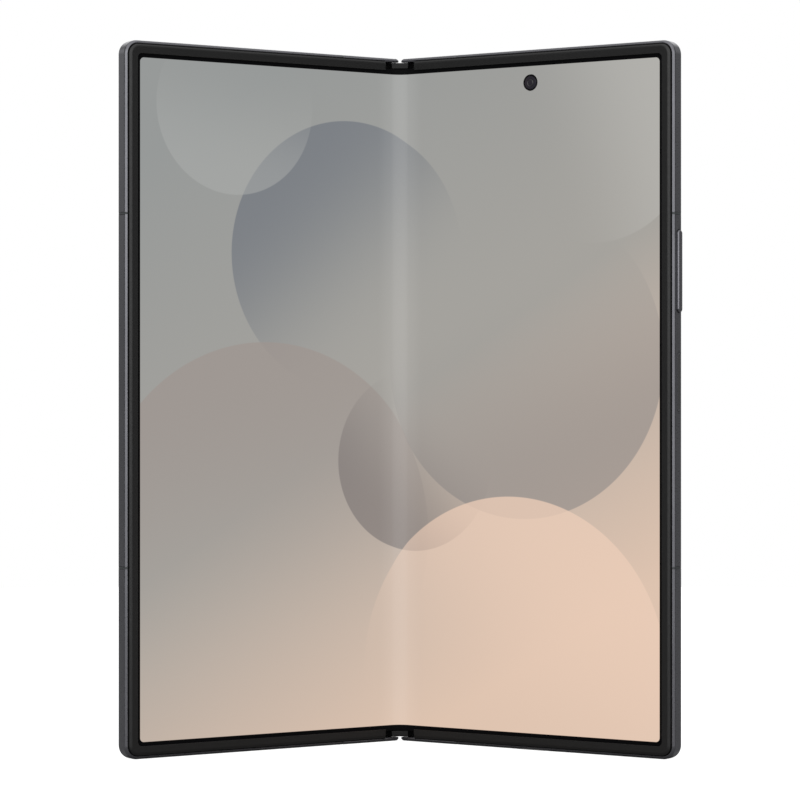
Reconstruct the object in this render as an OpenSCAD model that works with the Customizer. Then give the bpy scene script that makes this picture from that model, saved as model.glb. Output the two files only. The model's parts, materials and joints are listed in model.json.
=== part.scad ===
// Book-style folding telephone, standing on its lower edge and partly open.
// Each leaf is drawn flat, with x outward from the hinge's centre plane, y from its front to its
// back and z up, and is then turned about its hinge axis. The left leaf is the mirror of the right.

/* [Leaves] */
// Height of each leaf, along the hinge
leaf_h = 158.4; // [150:0.1:175]
// Width of each leaf, from the centre plane to its outer edge
leaf_w = 71.6; // [70:0.1:85]
// Thickness of each leaf
leaf_t = 4.2; // [4.2:0.1:6]
// Angle between the leaves as drawn
open_angle = 115; // [60:1:170]
// Radius of the outer corners
corner_r = 3.1; // [2.6:0.1:8]

/* [Side frame] */
// Depth of the frame's front below the bezel's
front_drop = 0.5; // [0.35:0.05:0.5]
// Chamfer on the front edge of the frame
front_chamfer = 0.5; // [0.1:0.05:0.5]
// Chamfer on the back edge of the frame
back_chamfer = 0.4; // [0.1:0.05:0.6]
// Thickness of the frame's front lip
front_lip = 0.6; // [0.54:0.02:0.66]
// Depth of the ledge that the bezel stands on
ledge_depth = 0.75; // [0.7:0.05:0.8]
// Thickness of the frame's wall
frame_wall = 1.3; // [1:0.1:1.6]
// Thickness of the frame's back lip
back_lip = 0.85; // [0.7:0.05:0.95]
// Reach of the seat for the back glass, from the outer face
seat_reach = 2; // [1.8:0.1:2.3]
// Thickness of that seat
seat_t = 0.4; // [0.3:0.05:0.5]
// Thickness of the back glasses
glass_t = 0.5; // [0.4:0.05:0.6]
// Front of the middle plate, from the leaf's front
midplate_front = 1; // [1:0.05:1.1]
// Thickness of the middle plate
midplate_t = 0.4; // [0.3:0.05:0.5]
// Height of each antenna band
band_h = 0.5; // [0.3:0.1:1.2]
// Antenna bands above the leaf's middle
band_up = 41; // [36:0.5:48]
// Antenna bands below the leaf's middle
band_down = 37; // [30:0.5:44]

/* [Screen] */
// Depth of the screen below the leaf's front
screen_recess = 0.3; // [0.2:0.02:0.3]
// Thickness of the screen
screen_t = 0.5; // [0.4:0.02:0.5]
// Thickness of the plate behind the screen
support_t = 0.2; // [0.1:0.02:0.2]
// Edge of the screen, from the leaf's outer face
screen_inset = 2.5; // [2.45:0.05:2.7]
// Inner edge of the bezel, from the leaf's outer face
bezel_inset = 2.9; // [2.8:0.1:3.6]
// Gap between the frame's lip and the bezel
bezel_gap = 0.06; // [0.05:0.01:0.14]
// Width of the slope round the bezel's outer edge
rim_w = 0.65; // [0.3:0.05:0.8]
// Depth of that slope
rim_drop = 0.45; // [0.2:0.05:0.6]
// Radius of the bezel's inner corners
bezel_corner_r = 1; // [0.4:0.1:2]
// Where the fold ends and the flat screen starts, from the centre plane
fold_half = 2.6; // [2.3:0.1:3]
// Diameter of the hole for the inner camera
camera_hole_d = 3.8; // [3:0.1:4.4]
// Inner camera, from the centre plane
camera_x = 35.2; // [30:0.1:37]
// Inner camera, below the leaf's top
camera_drop = 7.5; // [7:0.1:9]

/* [Hinge] */
// Depth of the two hinge axes below the leaf's front
pivot_y = 1.05; // [1:0.01:1.1]
// Gap between the leaves' fronts when closed
closed_gap = 0.2; // [0.1:0.02:0.4]
// Half the gap between the leaves' backs when flat
end_gap = 0.43; // [0.3:0.01:0.6]
// Half the gap between the frames' rails when flat
rail_start = 0.5; // [0.4:0.02:0.7]
// Radius of the frame's ends at the hinge, seen from the front
end_round = 0.6; // [0.2:0.1:1]
// Outer radius of the spine cover about each hinge axis
spine_r = 2.3; // [2.2:0.02:2.34]
// Wall of the spine cover
spine_wall = 0.45; // [0.3:0.05:0.5]
// Depth of the spine cover's rim
spine_rim = 2.1; // [2.05:0.05:2.4]
// Distance of the spine's ends from the leaves' ends
spine_end = 1.05; // [1:0.05:1.1]
// Length of the caps at the spine's ends
cap_len = 1.3; // [0.8:0.05:1.3]
// Half the width of a cap's guard between the bezels
guard_half = 1.9; // [1.2:0.1:2]
// Front of the hinge housings
housing_front = 1.35; // [1.3:0.02:1.5]
// Inner radius of the swing arms' shoes
shoe_r = 1; // [0.95:0.01:1.1]
// Thickness of the shoes
shoe_t = 0.75; // [0.6:0.01:0.77]
// Width of each swing arm
arm_w = 2.4; // [2:0.1:3]
// Thickness of the arms' plates
arm_t = 0.8; // [0.6:0.05:0.85]
// Width of the tabs that carry the arms' screws
tab_w = 5; // [4:0.1:6]
// Thickness of the friction shims
shim_t = 0.15; // [0.1:0.01:0.25]
// Clearance beside each arm
side_fit = 0.08; // [0.05:0.01:0.1]
// Running clearance of the shoes
run_fit = 0.05; // [0.02:0.01:0.08]
// Distance of the end housings from the leaves' ends
housing_margin = 16; // [14:0.5:24]

/* [Synchroniser] */
// Travel of the slider for a quarter turn of each leaf
sync_travel = 4; // [3:0.1:5]
// Diameter of the slider's pegs
peg_d = 0.5; // [0.4:0.02:0.6]
// Height of the lower helical barrel above the leaf's bottom
sync_z = 40; // [30:1:48]

/* [Keys] */
// Length of the volume key
volume_len = 18.25; // [14:0.05:20]
// Volume key above the leaf's middle
volume_up = 28.3; // [27:0.1:31]
// Length of the power key
power_len = 13.1; // [10:0.1:15]
// Power key above the leaf's middle
power_up = 3.9; // [0:0.1:6]
// Width of both keys
key_w = 1.8; // [1.4:0.1:1.9]
// Middle of the keys, from the leaf's front
key_y = 2.75; // [2.7:0.01:2.76]
// Height of the volume key above the frame
key_proud = 0.5; // [0.2:0.05:0.8]

/* [Camera island] */
// Width of the island
island_w = 19; // [17:0.5:20]
// Length of the island
island_len = 52; // [50:0.5:58]
// Height of the island
island_h = 1.6; // [1.2:0.1:2.4]
// Distance of the island from the leaf's outer and top edges
island_margin = 6.8; // [6:0.1:8]
// Distance between neighbouring lenses
lens_pitch = 15.5; // [14.5:0.1:16.5]
// Diameter of each lens glass
lens_d = 10.2; // [8:0.1:11]

/* [Ports] */
// Width of the USB socket's mouth
usb_w = 8.34; // [8:0.02:8.6]
// Height of the USB socket's mouth
usb_h = 2.56; // [2.4:0.02:2.56]
// Wall of the USB socket
usb_wall = 0.15; // [0.1:0.01:0.15]
// USB socket, from the centre plane
usb_x = 36; // [30:0.5:42]
// Width of the SIM tray's front
tray_w = 11.2; // [10.6:0.1:12]
// SIM tray, from the centre plane
tray_x = 54; // [46:0.5:58]

/* [Hidden] */
$fn = 64;

// Places across a leaf
fit = 0.02;
over = 1;
turn = (180 - open_angle) / 2;
pivot_x = pivot_y + closed_gap / 2;
mid_h = leaf_h / 2;
mouth_y = pivot_y - (leaf_w - front_chamfer - pivot_x) * sin(turn)
    - (pivot_y - front_drop) * cos(turn);
back_y = pivot_y + (pivot_x - end_gap) * sin(turn) + (leaf_t - pivot_y) * cos(turn);
mid_y = (mouth_y + back_y) / 2;

// Layers through a leaf
flange_gap = 0.15;
screen_gap = 0.15;
lid_gap = 0.1;
screen_back = screen_recess + screen_t;
cavity_front = midplate_front + midplate_t;
seat_y = leaf_t - glass_t;
cavity_back = seat_y - seat_t;
lid_y = cavity_back - lid_gap;
flange_front = pivot_y + spine_r + flange_gap;

// Hinge side of a leaf
well_w = 4.75;
bar_w = 5.2;
rail_gap = 0.2;
glass_gap = 0.05;
glass_lap = 0.65;
glass_seat_w = 1;
flange_chamfer = 0.25;
bezel_clear = 0.85;
support_clear = 0.2;
well_x = pivot_x + spine_r + well_w;
bar_end_x = well_x + bar_w;
glass_x = well_x + glass_lap;
rail_t = spine_end - rail_gap;
bezel_x = pivot_x + spine_r + bezel_clear;
rail_end_x = bezel_x - bezel_gap;
support_x = bezel_x + support_clear;
spine_in_r = spine_r - spine_wall;
guard_front = screen_recess / 2;
guard_lap = 0.2;

// Antenna bands
band_lead = 2;
band_x = bar_end_x + band_lead;
band_z = [mid_h + band_up, mid_h - band_down];

// Outlines of the frame's sections, as inset from the outer face and depth
side_front = front_drop + front_chamfer;
frame_section = [
    [0, side_front], [front_chamfer, front_drop], [front_lip, front_drop],
    [front_lip, ledge_depth], [frame_wall, ledge_depth], [frame_wall, cavity_back],
    [seat_reach, cavity_back],
    [seat_reach, seat_y], [back_lip, seat_y], [back_lip, leaf_t], [back_chamfer, leaf_t],
    [0, leaf_t - back_chamfer]
];
rail_section = [
    [0, side_front], [front_chamfer, front_drop], [front_lip, front_drop],
    [front_lip, ledge_depth], [rail_t, ledge_depth], [rail_t, leaf_t], [back_chamfer, leaf_t],
    [0, leaf_t - back_chamfer]
];
rail_end_section = [
    [0, side_front], [front_chamfer, front_drop], [rail_t, front_drop], [rail_t, leaf_t],
    [back_chamfer, leaf_t], [0, leaf_t - back_chamfer]
];

// Hinge arms and housings
arm_gap = 0.05;
arm_room = 0.1;
tab_fit = 0.05;
tab_lead = 0.8;
tab_tail = 0.4;
shoe_sweep = 170;
shoe_room = 0.1;
end_rib = 2.4;
mid_rib = 1.2;
arm_y = pivot_y + arm_gap;
tab_x = well_x + tab_lead;
tab_end_x = bar_end_x - tab_tail;
tab_drop = (tab_w - arm_w) / 2;
arm_screw_x = (tab_x + tab_end_x) / 2;
groove_w = arm_w + shim_t + 2 * side_fit;
housing_len = 2 * end_rib + 2 * groove_w + mid_rib;
housing_z = [
    housing_margin - housing_len / 2, mid_h - housing_len / 2,
    leaf_h - housing_margin - housing_len / 2
];
left_groove_z = end_rib;
right_groove_z = end_rib + groove_w + mid_rib;
housing_screw_z = [end_rib / 2, housing_len - end_rib / 2];
shoe_lead = shim_t + side_fit;
left_arm_z = [for (z = housing_z) z + left_groove_z + shoe_lead];
right_arm_z = [for (z = housing_z) z + right_groove_z + shoe_lead];

// Helical barrels and slider
barrel_r = [0.9, 1.45];
barrel_margin = 1.3;
barrel_gap = 0.6;
peg_angle = 68;
peg_room = 0.45;
peg_fit = 0.1;
peg_lead = 0.05;
peg_sunk = 0.1;
slider_gap = 0.04;
slider_side = 0.9;
slider_over = 1.2;
slot_lean = atan(barrel_r[1] * PI / 2 / sync_travel);
slot_w = (peg_d + peg_fit) / cos(slot_lean);
slot_run = sync_travel + 2 * peg_room;
slot_turn = slot_run / sync_travel * 90;
barrel_len = sync_travel + 2 * barrel_margin;
right_barrel_z = sync_z;
left_barrel_z = sync_z + barrel_len + barrel_gap;
barrel_tab_z = (barrel_len - arm_w) / 2;
sync_rest = sync_travel * turn / 90;
slider_front = pivot_y + barrel_r[1] + slider_gap;
slider_back_r = spine_in_r - slider_gap;
peg_r = [barrel_r[0] + peg_lead, (slider_front - pivot_y + peg_sunk) / sin(peg_angle)];

// Screws as head radius, head height, shank radius and whole length
arm_screw = [0.85, 0.35, 0.5, 2];
housing_screw = [0.75, 0.3, 0.4, 1.8];

// Cables across the hinge, with the points of their bend given from the hinge axis
cable_t = 0.12;
cable_w = 12;
cable_up = 31;
cable_sunk = 0.15;
cable_lead = 0.1;
cable_tail = 4;
cable_room = 0.2;
cable_deep = 1.57;
cable_bend = [[-0.35, 1.55], [0.35, 1.4], [0.85, 1.05], [1.25, 0.6]];
cable_flat_x = [3.6, 4.2];
plug_len = 2.4;
plug_side = 1;
cable_z = [mid_h + cable_up - cable_w / 2, mid_h + cable_up + cable_w / 2];
cable_y = arm_y + arm_t - cable_sunk;
cable_end_x = well_x - cable_lead;
cable_tail_x = bar_end_x + cable_tail;

// Keys and their switches
key_slot_fit = 0.12;
key_side_fit = 0.05;
key_pad_t = 0.4;
key_pad_gap = 0.25;
key_pad_over = 0.6;
key_pad_room = 0.2;
nub_len = 0.25;
nub_r = 0.5;
fulcrum_r = 0.45;
dome_gap = 0.2;
dome_t = 0.35;
dome_r = [0.8, 0.5];
strip_t = 0.15;
bracket_t = 0.5;
bracket_over = 1;
sensor_rim = 0.25;
sensor_end = 0.5;
sensor_depth = 0.2;
sensor_sunk = 0.05;
key_pad_x = leaf_w - frame_wall - key_pad_gap - key_pad_t;
strip_x = key_pad_x - nub_len - dome_gap - dome_t - strip_t;
volume_z = mid_h + volume_up;
power_z = mid_h + power_up;
volume_nub_z = [volume_z - volume_len / 3, volume_z + volume_len / 3];
strip_z = [power_z - power_len / 2, volume_z + volume_len / 2];

// Camera island and lenses
island_wall = 0.8;
island_top_t = 0.5;
lens_ring_w = 1.1;
lens_ring_h = 0.4;
lens_t = 0.3;
lens_proud = 0.1;
module_side = 0.1;
module_rise = 0.6;
module_r = 0.6;
module_step = 1;
flash_d = 2.6;
flash_margin = 2.9;
flash_step = 0.4;
island_x = leaf_w - island_margin - island_w / 2;
island_z = leaf_h - island_margin - island_len / 2;
island_top = leaf_t + island_h;
lens_z = [island_z - lens_pitch, island_z, island_z + lens_pitch];
lens_front = island_top + lens_proud - lens_t;
flash_x = island_x + island_w / 2 - flash_margin;
flash_z = island_z + lens_pitch / 2;

// Space for batteries and boards inside each leaf
cavity_lead = 0.6;
cavity_side = 3.4;
cavity_x = [cable_tail_x + cavity_lead, leaf_w - seat_reach - cavity_side];
part_r = 0.5;
part_gap = 0.1;

// Batteries and charging coil
battery_r = 1.5;
left_battery_low = 12;
left_battery_drop = 30.4;
right_battery_low = 24;
right_battery_drop = 68.4;
coil_r = [11, 22];
coil_t = 0.3;
left_battery_z = [left_battery_low, leaf_h - left_battery_drop];
right_battery_z = [right_battery_low, leaf_h - right_battery_drop];
coil_x = (cavity_x[0] + cavity_x[1]) / 2;
coil_z = (right_battery_z[0] + right_battery_z[1]) / 2;

// Boards, with each chip's centre from the board's lower inner corner and its size
board_t = 0.6;
board_r = 1;
board_drop = 11.5;
left_board_h = 15.9;
main_board_h = 50.9;
board_tray_gap = 8;
board_lap = 2;
chip_t = 0.6;
left_chips = [[8, 8.4, 6, 6], [17, 7.4, 5, 8], [24, 8.4, 3, 5]];
main_chips = [[20, 44, 5, 6]];
can_side = 2;
can_gap = 3;
can_h = [13, 19];
board_top = leaf_h - board_drop;
left_board_z = [board_top - left_board_h, board_top];
main_board_z = [board_top - main_board_h, board_top];
can_z = [main_board_z[0] + can_gap, main_board_z[0] + 2 * can_gap + can_h[0]];

// Cameras, each with a square body behind a round barrel
camera_box = 6;
camera_fit = 0.1;
camera_z = leaf_h - camera_drop;
cover_camera_x = 36;

// Holes through the rails at a leaf's ends
hole_d = 1;
hole_pitch = 2.4;
mic_d = 0.6;
inner_mic_x = 28;
outer_mic_x = 36;
outer_hole_x = 22;
outer_holes = 4;
speaker_holes = 5;
hole_y = (screen_back + seat_y) / 2;

// USB socket
usb_len = 7.3;
tongue_w = 6.6;
tongue_t = 0.7;
tongue_start = 0.6;
usb_outer_h = usb_h + 2 * usb_wall;
usb_outer_w = usb_w + 2 * usb_wall;

// SIM tray and card
tray_len = 18;
tray_front_h = 1.9;
tray_wall = 0.8;
tray_floor = 0.4;
tray_lead = 1.2;
tray_gap = 0.1;
tray_back_gap = 0.3;
ejector_d = 0.7;
ejector_gap = 2;
sim_size = [8.8, 0.67, 12.3];
tray_y = [cavity_front + tray_gap, cavity_back - tray_back_gap];
tray_mid_y = (tray_y[0] + tray_y[1]) / 2;
tray_z = leaf_h - frame_wall;
card_z = tray_z - tray_lead - sim_size[2];

// Loudspeaker, earpiece, motor and magnets
speaker_w = 18.2;
speaker_h = 13.8;
speaker_r = 0.8;
speaker_lead = 2;
speaker_gap = 0.2;
earpiece_w = 16;
earpiece_h = 2.1;
earpiece_side = 0.3;
slit_w = 12;
slit_h = 0.5;
motor_w = 12;
motor_h = 11;
motor_r = 2;
motor_gap = 1;
motor_back_gap = 0.3;
magnet_w = 2;
magnet_h = 8;
magnet_gap = 0.2;
magnet_z = [24, 36];
speaker_x = cavity_x[1] - speaker_w;
earpiece_x = [cover_camera_x - earpiece_w / 2, cover_camera_x + earpiece_w / 2];
earpiece_top = leaf_h - seat_reach - part_gap;

// Places a part of the spine
module spine_place() {
    translate([0, -mid_y, 0]) children();
}

// Places a part of the right leaf that was drawn flat
module right_place() {
    translate([pivot_x, pivot_y - mid_y, 0])
        rotate([0, 0, -turn])
            translate([-pivot_x, -pivot_y, 0]) children();
}

// Places a part of the left leaf that was drawn flat
module left_place() {
    mirror([1, 0, 0]) right_place() children();
}

// Repeats a part at the leaf's other end
module both_ends() {
    children();
    translate([0, 0, leaf_h]) mirror([0, 0, 1]) children();
}

// Box between two corners, each size given as a pair
module block(x, y, z) {
    translate([x[0], y[0], z[0]]) cube([x[1] - x[0], y[1] - y[0], z[1] - z[0]]);
}

// Gives an outline in x and z its thickness, from y0 to y1
module slab(y0, y1) {
    translate([0, y1, 0]) rotate([90, 0, 0]) linear_extrude(y1 - y0) children();
}

// Gives an outline in y and z its length, from x0 to x1
module along_x(x0, x1) {
    translate([x0, 0, 0]) rotate([90, 0, 90]) linear_extrude(x1 - x0) children();
}

// Sweeps a section, given as inset and depth, along one end of a leaf, from x0 to x1
module end_sweep(x0, x1, section) {
    along_x(x0, x1) polygon([for (p = section) [p[1], p[0]]]);
}

// Sweeps such a section along a leaf's outer side and both its ends, from x0
module edge_sweep(x0, section) {
    translate([0, 0, corner_r]) linear_extrude(leaf_h - 2 * corner_r)
        polygon([for (p = section) [leaf_w - p[0], p[1]]]);
    both_ends() {
        translate([leaf_w - corner_r, 0, corner_r]) rotate([-90, 0, 0])
            rotate_extrude(angle = 90) polygon([for (p = section) [corner_r - p[0], p[1]]]);
        end_sweep(x0, leaf_w - corner_r, section);
    }
}

// Round bar along y
module round_y(x, z, y0, y1, r) {
    translate([x, y0, z]) rotate([-90, 0, 0]) cylinder(r = r, h = y1 - y0);
}

// Rectangle whose two outer corners are round
module leaf_outline(x0, inset, r) {
    x1 = leaf_w - inset;
    translate([x0, inset]) square([x1 - r - x0, leaf_h - 2 * inset]);
    translate([x1 - r, inset + r]) square([r, leaf_h - 2 * inset - 2 * r]);
    for (z = [inset + r, leaf_h - inset - r]) translate([x1 - r, z]) circle(r);
}

// Rectangle with four round corners
module round_rect(x, z, r) {
    translate([x[0] + r, z[0]]) square([x[1] - x[0] - 2 * r, z[1] - z[0]]);
    translate([x[0], z[0] + r]) square([x[1] - x[0], z[1] - z[0] - 2 * r]);
    for (i = [x[0] + r, x[1] - r], j = [z[0] + r, z[1] - r]) translate([i, j]) circle(r);
}

// Slot with round ends about a centre, w wide and h high
module pill(w, h) {
    r = min(w, h) / 2;
    size = w > h ? [w - h, h] : [w, h - w];
    translate(-size / 2) square(size);
    for (s = [-1, 1]) translate([s * (w / 2 - r), s * (h / 2 - r)]) circle(r);
}

// Ring between two radii, through the given angle from +x
module ring_sector(r0, r1, h, angle) {
    rotate_extrude(angle = angle) translate([r0, 0]) square([r1 - r0, h]);
}

// Screw along +y with its head at y = 0 and a crossed recess
module screw(size) {
    recess = [size[0] * 1.1, size[0] * 0.25];
    difference() {
        union() {
            round_y(0, 0, 0, size[1], size[0]);
            round_y(0, 0, size[1], size[3], size[2]);
        }
        block([-recess[0] / 2, recess[0] / 2], [-1, size[1] / 2], [-recess[1] / 2, recess[1] / 2]);
        block([-recess[1] / 2, recess[1] / 2], [-1, size[1] / 2], [-recess[0] / 2, recess[0] / 2]);
    }
}

// Hole for such a screw
module screw_hole(size) {
    round_y(0, 0, -1, size[1], size[0] + fit);
    round_y(0, 0, 0, size[3] + fit, size[2] + fit);
}

// Spine's section of a given radius about both hinge axes
module trough(r) {
    for (s = [-1, 1]) translate([s * pivot_x, pivot_y]) circle(r);
    translate([-pivot_x, pivot_y]) square([2 * pivot_x, r]);
}

// That section behind a given depth
module trough_behind(r, y) {
    intersection() {
        trough(r);
        translate([-2 * spine_r, y]) square([4 * spine_r, 2 * spine_r]);
    }
}

// Hinge

module spine_cover() {
    color("dimgray") spine_place() difference() {
        translate([0, 0, spine_end]) linear_extrude(leaf_h - 2 * spine_end) difference() {
            trough_behind(spine_r, spine_rim);
            trough(spine_in_r);
        }
        housing_screw_places() screw_hole(housing_screw);
    }
}

module spine_caps() {
    color("dimgray") spine_place() both_ends() translate([0, 0, spine_end])
        linear_extrude(cap_len) {
            trough_behind(spine_in_r, housing_front);
            translate([-guard_half, guard_front])
                square([2 * guard_half, housing_front + guard_lap - guard_front]);
        }
}

// Where the housings' screws go
module housing_screw_places() {
    for (z = housing_z, s = housing_screw_z) translate([0, housing_front, z + s]) children();
}

// Room for one arm's shoe and shim, at a side of the spine
module shoe_groove(side, z) {
    translate([side * pivot_x, pivot_y, z]) linear_extrude(groove_w) difference() {
        circle(spine_in_r + shoe_room);
        circle(shoe_r - run_fit);
    }
}

module hinge_housings() {
    color("darkgray") spine_place() difference() {
        for (z = housing_z) translate([0, 0, z]) difference() {
            linear_extrude(housing_len) trough_behind(spine_in_r - fit, housing_front);
            shoe_groove(-1, left_groove_z);
            shoe_groove(1, right_groove_z);
        }
        housing_screw_places() screw_hole(housing_screw);
    }
}

module housing_screws() {
    color("silver") spine_place() housing_screw_places() screw(housing_screw);
}

module friction_shims() {
    color("goldenrod") spine_place() for (z = housing_z, side = [-1, 1])
        translate([side * pivot_x, pivot_y, z + (side < 0 ? left_groove_z : right_groove_z)])
            linear_extrude(shim_t) intersection() {
                difference() {
                    circle(shoe_r + shoe_t - run_fit);
                    circle(shoe_r);
                }
                translate([-spine_r, housing_front - pivot_y]) square(2 * spine_r);
            }
}

// The fold's arc meets both flat halves squarely
module display_fold() {
    vertex_x = (pivot_x + (screen_recess - pivot_y) * sin(turn)) / cos(turn);
    vertex_y = pivot_y + vertex_x * sin(turn) + (screen_recess - pivot_y) * cos(turn);
    fold_r = (fold_half - pivot_x + vertex_x) / tan(turn);
    reach = 2 * (fold_r + screen_t);
    color("black") spine_place() translate([0, vertex_y - fold_r / cos(turn), screen_inset])
        linear_extrude(leaf_h - 2 * screen_inset) intersection() {
            difference() {
                circle(fold_r + screen_t, $fn = 180);
                circle(fold_r, $fn = 180);
            }
            polygon([[0, 0], [reach * sin(turn), reach * cos(turn)],
                [-reach * sin(turn), reach * cos(turn)]]);
        }
}

// A place of the right leaf in the spine's frame
function on_leaf(x, y) = [
    pivot_x + (x - pivot_x) * cos(turn) + (y - pivot_y) * sin(turn),
    pivot_y - (x - pivot_x) * sin(turn) + (y - pivot_y) * cos(turn)
];

// The cables' middle line, from the centre of the spine to the right leaf
cable_half = [
    [0, pivot_y + cable_deep], for (p = cable_bend) [pivot_x + p[0], pivot_y + p[1]],
    for (x = [each cable_flat_x, cable_end_x]) on_leaf(x, cable_y)
];

module hinge_flex_cables() {
    n = len(cable_half);
    line = [for (i = [n - 1:-1:1]) [-cable_half[i][0], cable_half[i][1]], each cable_half];
    last = len(line) - 1;
    normals = [for (i = [0:last])
        let (d = line[min(i + 1, last)] - line[max(i - 1, 0)]) [-d[1], d[0]] / norm(d)];
    color("orange") spine_place() translate([0, 0, cable_z[0]])
        linear_extrude(cable_w) polygon([
            for (i = [0:last]) line[i] + normals[i] * cable_t / 2,
            for (i = [last:-1:0]) line[i] - normals[i] * cable_t / 2
        ]);
}

module cable_ends() {
    block([cable_end_x, cable_tail_x], [cable_y - cable_t / 2, cable_y + cable_t / 2], cable_z);
    block([cable_tail_x - plug_len, cable_tail_x], [cavity_front, cable_y - cable_t / 2],
        [cable_z[0] + plug_side, cable_z[1] - plug_side]);
}

// One swing arm, with its shoe about the hinge axis
module swing_arm(z) {
    translate([pivot_x, pivot_y, z]) ring_sector(shoe_r, shoe_r + shoe_t, arm_w, shoe_sweep);
    block([pivot_x + shoe_r, tab_x], [arm_y, arm_y + arm_t], [z, z + arm_w]);
}

// Where the arms' screws go, at each arm and at the barrel
module arm_screw_places(arms_z, barrel_z) {
    for (z = [each arms_z, barrel_z + barrel_tab_z])
        translate([arm_screw_x, arm_y, z + arm_w / 2]) children();
}

// The flat tab of an arm
module arm_tab(z) {
    block([tab_x, tab_end_x], [arm_y, arm_y + arm_t], [z - tab_drop, z + arm_w + tab_drop]);
}

module hinge_arms(arms_z, barrel_z) {
    color("gray") difference() {
        for (z = arms_z) {
            swing_arm(z);
            arm_tab(z);
        }
        arm_screw_places(arms_z, barrel_z) screw_hole(arm_screw);
    }
}

// Helical slot of a barrel
module barrel_slot(z) {
    translate([pivot_x, pivot_y, z + barrel_margin - peg_room])
        rotate([0, 0, peg_angle - peg_room / sync_travel * 90])
            linear_extrude(height = slot_run, twist = -slot_turn, slices = 16, segments = 4)
                translate([barrel_r[0] / 2, -slot_w / 2])
                    square([barrel_r[1], slot_w]);
}

module sync_barrel(arms_z, barrel_z) {
    tab_z = barrel_z + barrel_tab_z;
    color("darkgoldenrod") difference() {
        union() {
            translate([pivot_x, pivot_y, barrel_z])
                ring_sector(barrel_r[0], barrel_r[1], barrel_len, 180);
            block([pivot_x + barrel_r[0], tab_x], [arm_y, arm_y + arm_t],
                [tab_z, tab_z + arm_w]);
            arm_tab(tab_z);
        }
        barrel_slot(barrel_z);
        arm_screw_places(arms_z, barrel_z) screw_hole(arm_screw);
    }
}

// Peg of the slider in one barrel's slot, for the angle as drawn
module slider_peg(side, barrel_z) {
    translate([side * pivot_x, pivot_y, barrel_z + barrel_margin + sync_rest])
        rotate([0, 90, side > 0 ? peg_angle : 180 - peg_angle])
            translate([0, 0, peg_r[0]]) cylinder(d = peg_d, h = peg_r[1] - peg_r[0]);
}

module sync_slider() {
    color("darkgray") spine_place() {
        translate([0, 0, right_barrel_z + barrel_margin + sync_rest - slider_over])
            linear_extrude(left_barrel_z - right_barrel_z + 2 * slider_over) intersection() {
                trough_behind(slider_back_r, slider_front);
                translate([-pivot_x - slider_side, 0])
                    square([2 * (pivot_x + slider_side), 2 * spine_r]);
            }
        slider_peg(1, right_barrel_z);
        slider_peg(-1, left_barrel_z);
    }
}

// Parts that both leaves have

// Slices of the frame's section that the antenna bands fill
module band_slices() {
    for (z = band_z) translate([0, 0, z - band_h / 2])
        linear_extrude(band_h) polygon([for (p = frame_section) [leaf_w - p[0], p[1]]]);
    both_ends() end_sweep(band_x, band_x + band_h, frame_section);
}

module left_antenna_bands() {
    color("dimgray") left_place() band_slices();
}

module right_antenna_bands() {
    color("dimgray") right_place() difference() {
        band_slices();
        key_hole(volume_z, volume_len);
        key_hole(power_z, power_len);
    }
}

// Room for an arm's tab and plate
module arm_pocket(z) {
    y = [midplate_front - arm_room, arm_y + arm_t];
    block([well_x - over, tab_x], y, [z - side_fit, z + arm_w + side_fit]);
    block([tab_x - tab_fit, tab_end_x + tab_fit], y,
        [z - tab_drop - tab_fit, z + arm_w + tab_drop + tab_fit]);
}

module frame_blank(arms_z, barrel_z) {
    difference() {
        union() {
            edge_sweep(well_x, frame_section);
            both_ends() {
                end_sweep(rail_end_x, well_x, rail_section);
                end_sweep(rail_start, rail_end_x, rail_end_section);
            }
            slab(midplate_front, cavity_front)
                leaf_outline(well_x, frame_wall / 2, corner_r - frame_wall / 2);
            hinge_bar();
        }
        rail_end_cut();
        band_slices();
        for (z = [each arms_z, barrel_z + barrel_tab_z]) arm_pocket(z);
        arm_screw_places(arms_z, barrel_z) screw_hole(arm_screw);
        block([well_x - over, bar_end_x + over], [cable_y - cable_room, cable_y + cable_room],
            [cable_z[0] - cable_room, cable_z[1] + cable_room]);
    }
}

// Bar beside the hinge, with the flange that reaches over the spine
module hinge_bar() {
    translate([0, 0, back_chamfer]) linear_extrude(leaf_h - 2 * back_chamfer) polygon([
        [end_gap, flange_front], [end_gap, leaf_t - flange_chamfer],
        [end_gap + flange_chamfer, leaf_t], [glass_x - glass_gap, leaf_t],
        [glass_x - glass_gap, seat_y], [glass_x + glass_seat_w, seat_y],
        [glass_x + glass_seat_w, cavity_back], [bar_end_x, cavity_back],
        [bar_end_x, midplate_front], [well_x, midplate_front],
        [well_x, flange_front]
    ]);
}

// Rounds the rails' ends in the front view
module rail_end_cut() {
    both_ends() slab(-over, leaf_t + over) difference() {
        translate([-over, -over]) square([rail_start + end_round + over, end_round + over]);
        translate([rail_start + end_round, end_round]) circle(end_round);
    }
}

// Hole along z through the rail at a leaf's lower end, or at its upper one
module rail_hole(x, d, upper) {
    translate([x, hole_y, upper ? leaf_h - seat_reach - over : -over])
        cylinder(d = d, h = seat_reach + 2 * over);
}

module bezel() {
    inset = front_lip + bezel_gap;
    foot_inset = screen_inset - screen_gap;
    color("black") difference() {
        union() {
            slab(0, screen_recess) difference() {
                leaf_outline(bezel_x, inset, corner_r - inset);
                leaf_outline(bezel_x - over, bezel_inset, bezel_corner_r);
            }
            slab(screen_recess, ledge_depth) difference() {
                leaf_outline(bezel_x, inset, corner_r - inset);
                leaf_outline(bezel_x - over, foot_inset, bezel_corner_r);
            }
        }
        edge_sweep(bezel_x - over, [
            [0, -over], [inset + rim_w, -over], [inset + rim_w, 0], [inset, rim_drop],
            [0, rim_drop]
        ]);
    }
}

module display() {
    slab(screen_recess, screen_back) leaf_outline(fold_half, screen_inset, bezel_corner_r);
}

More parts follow.
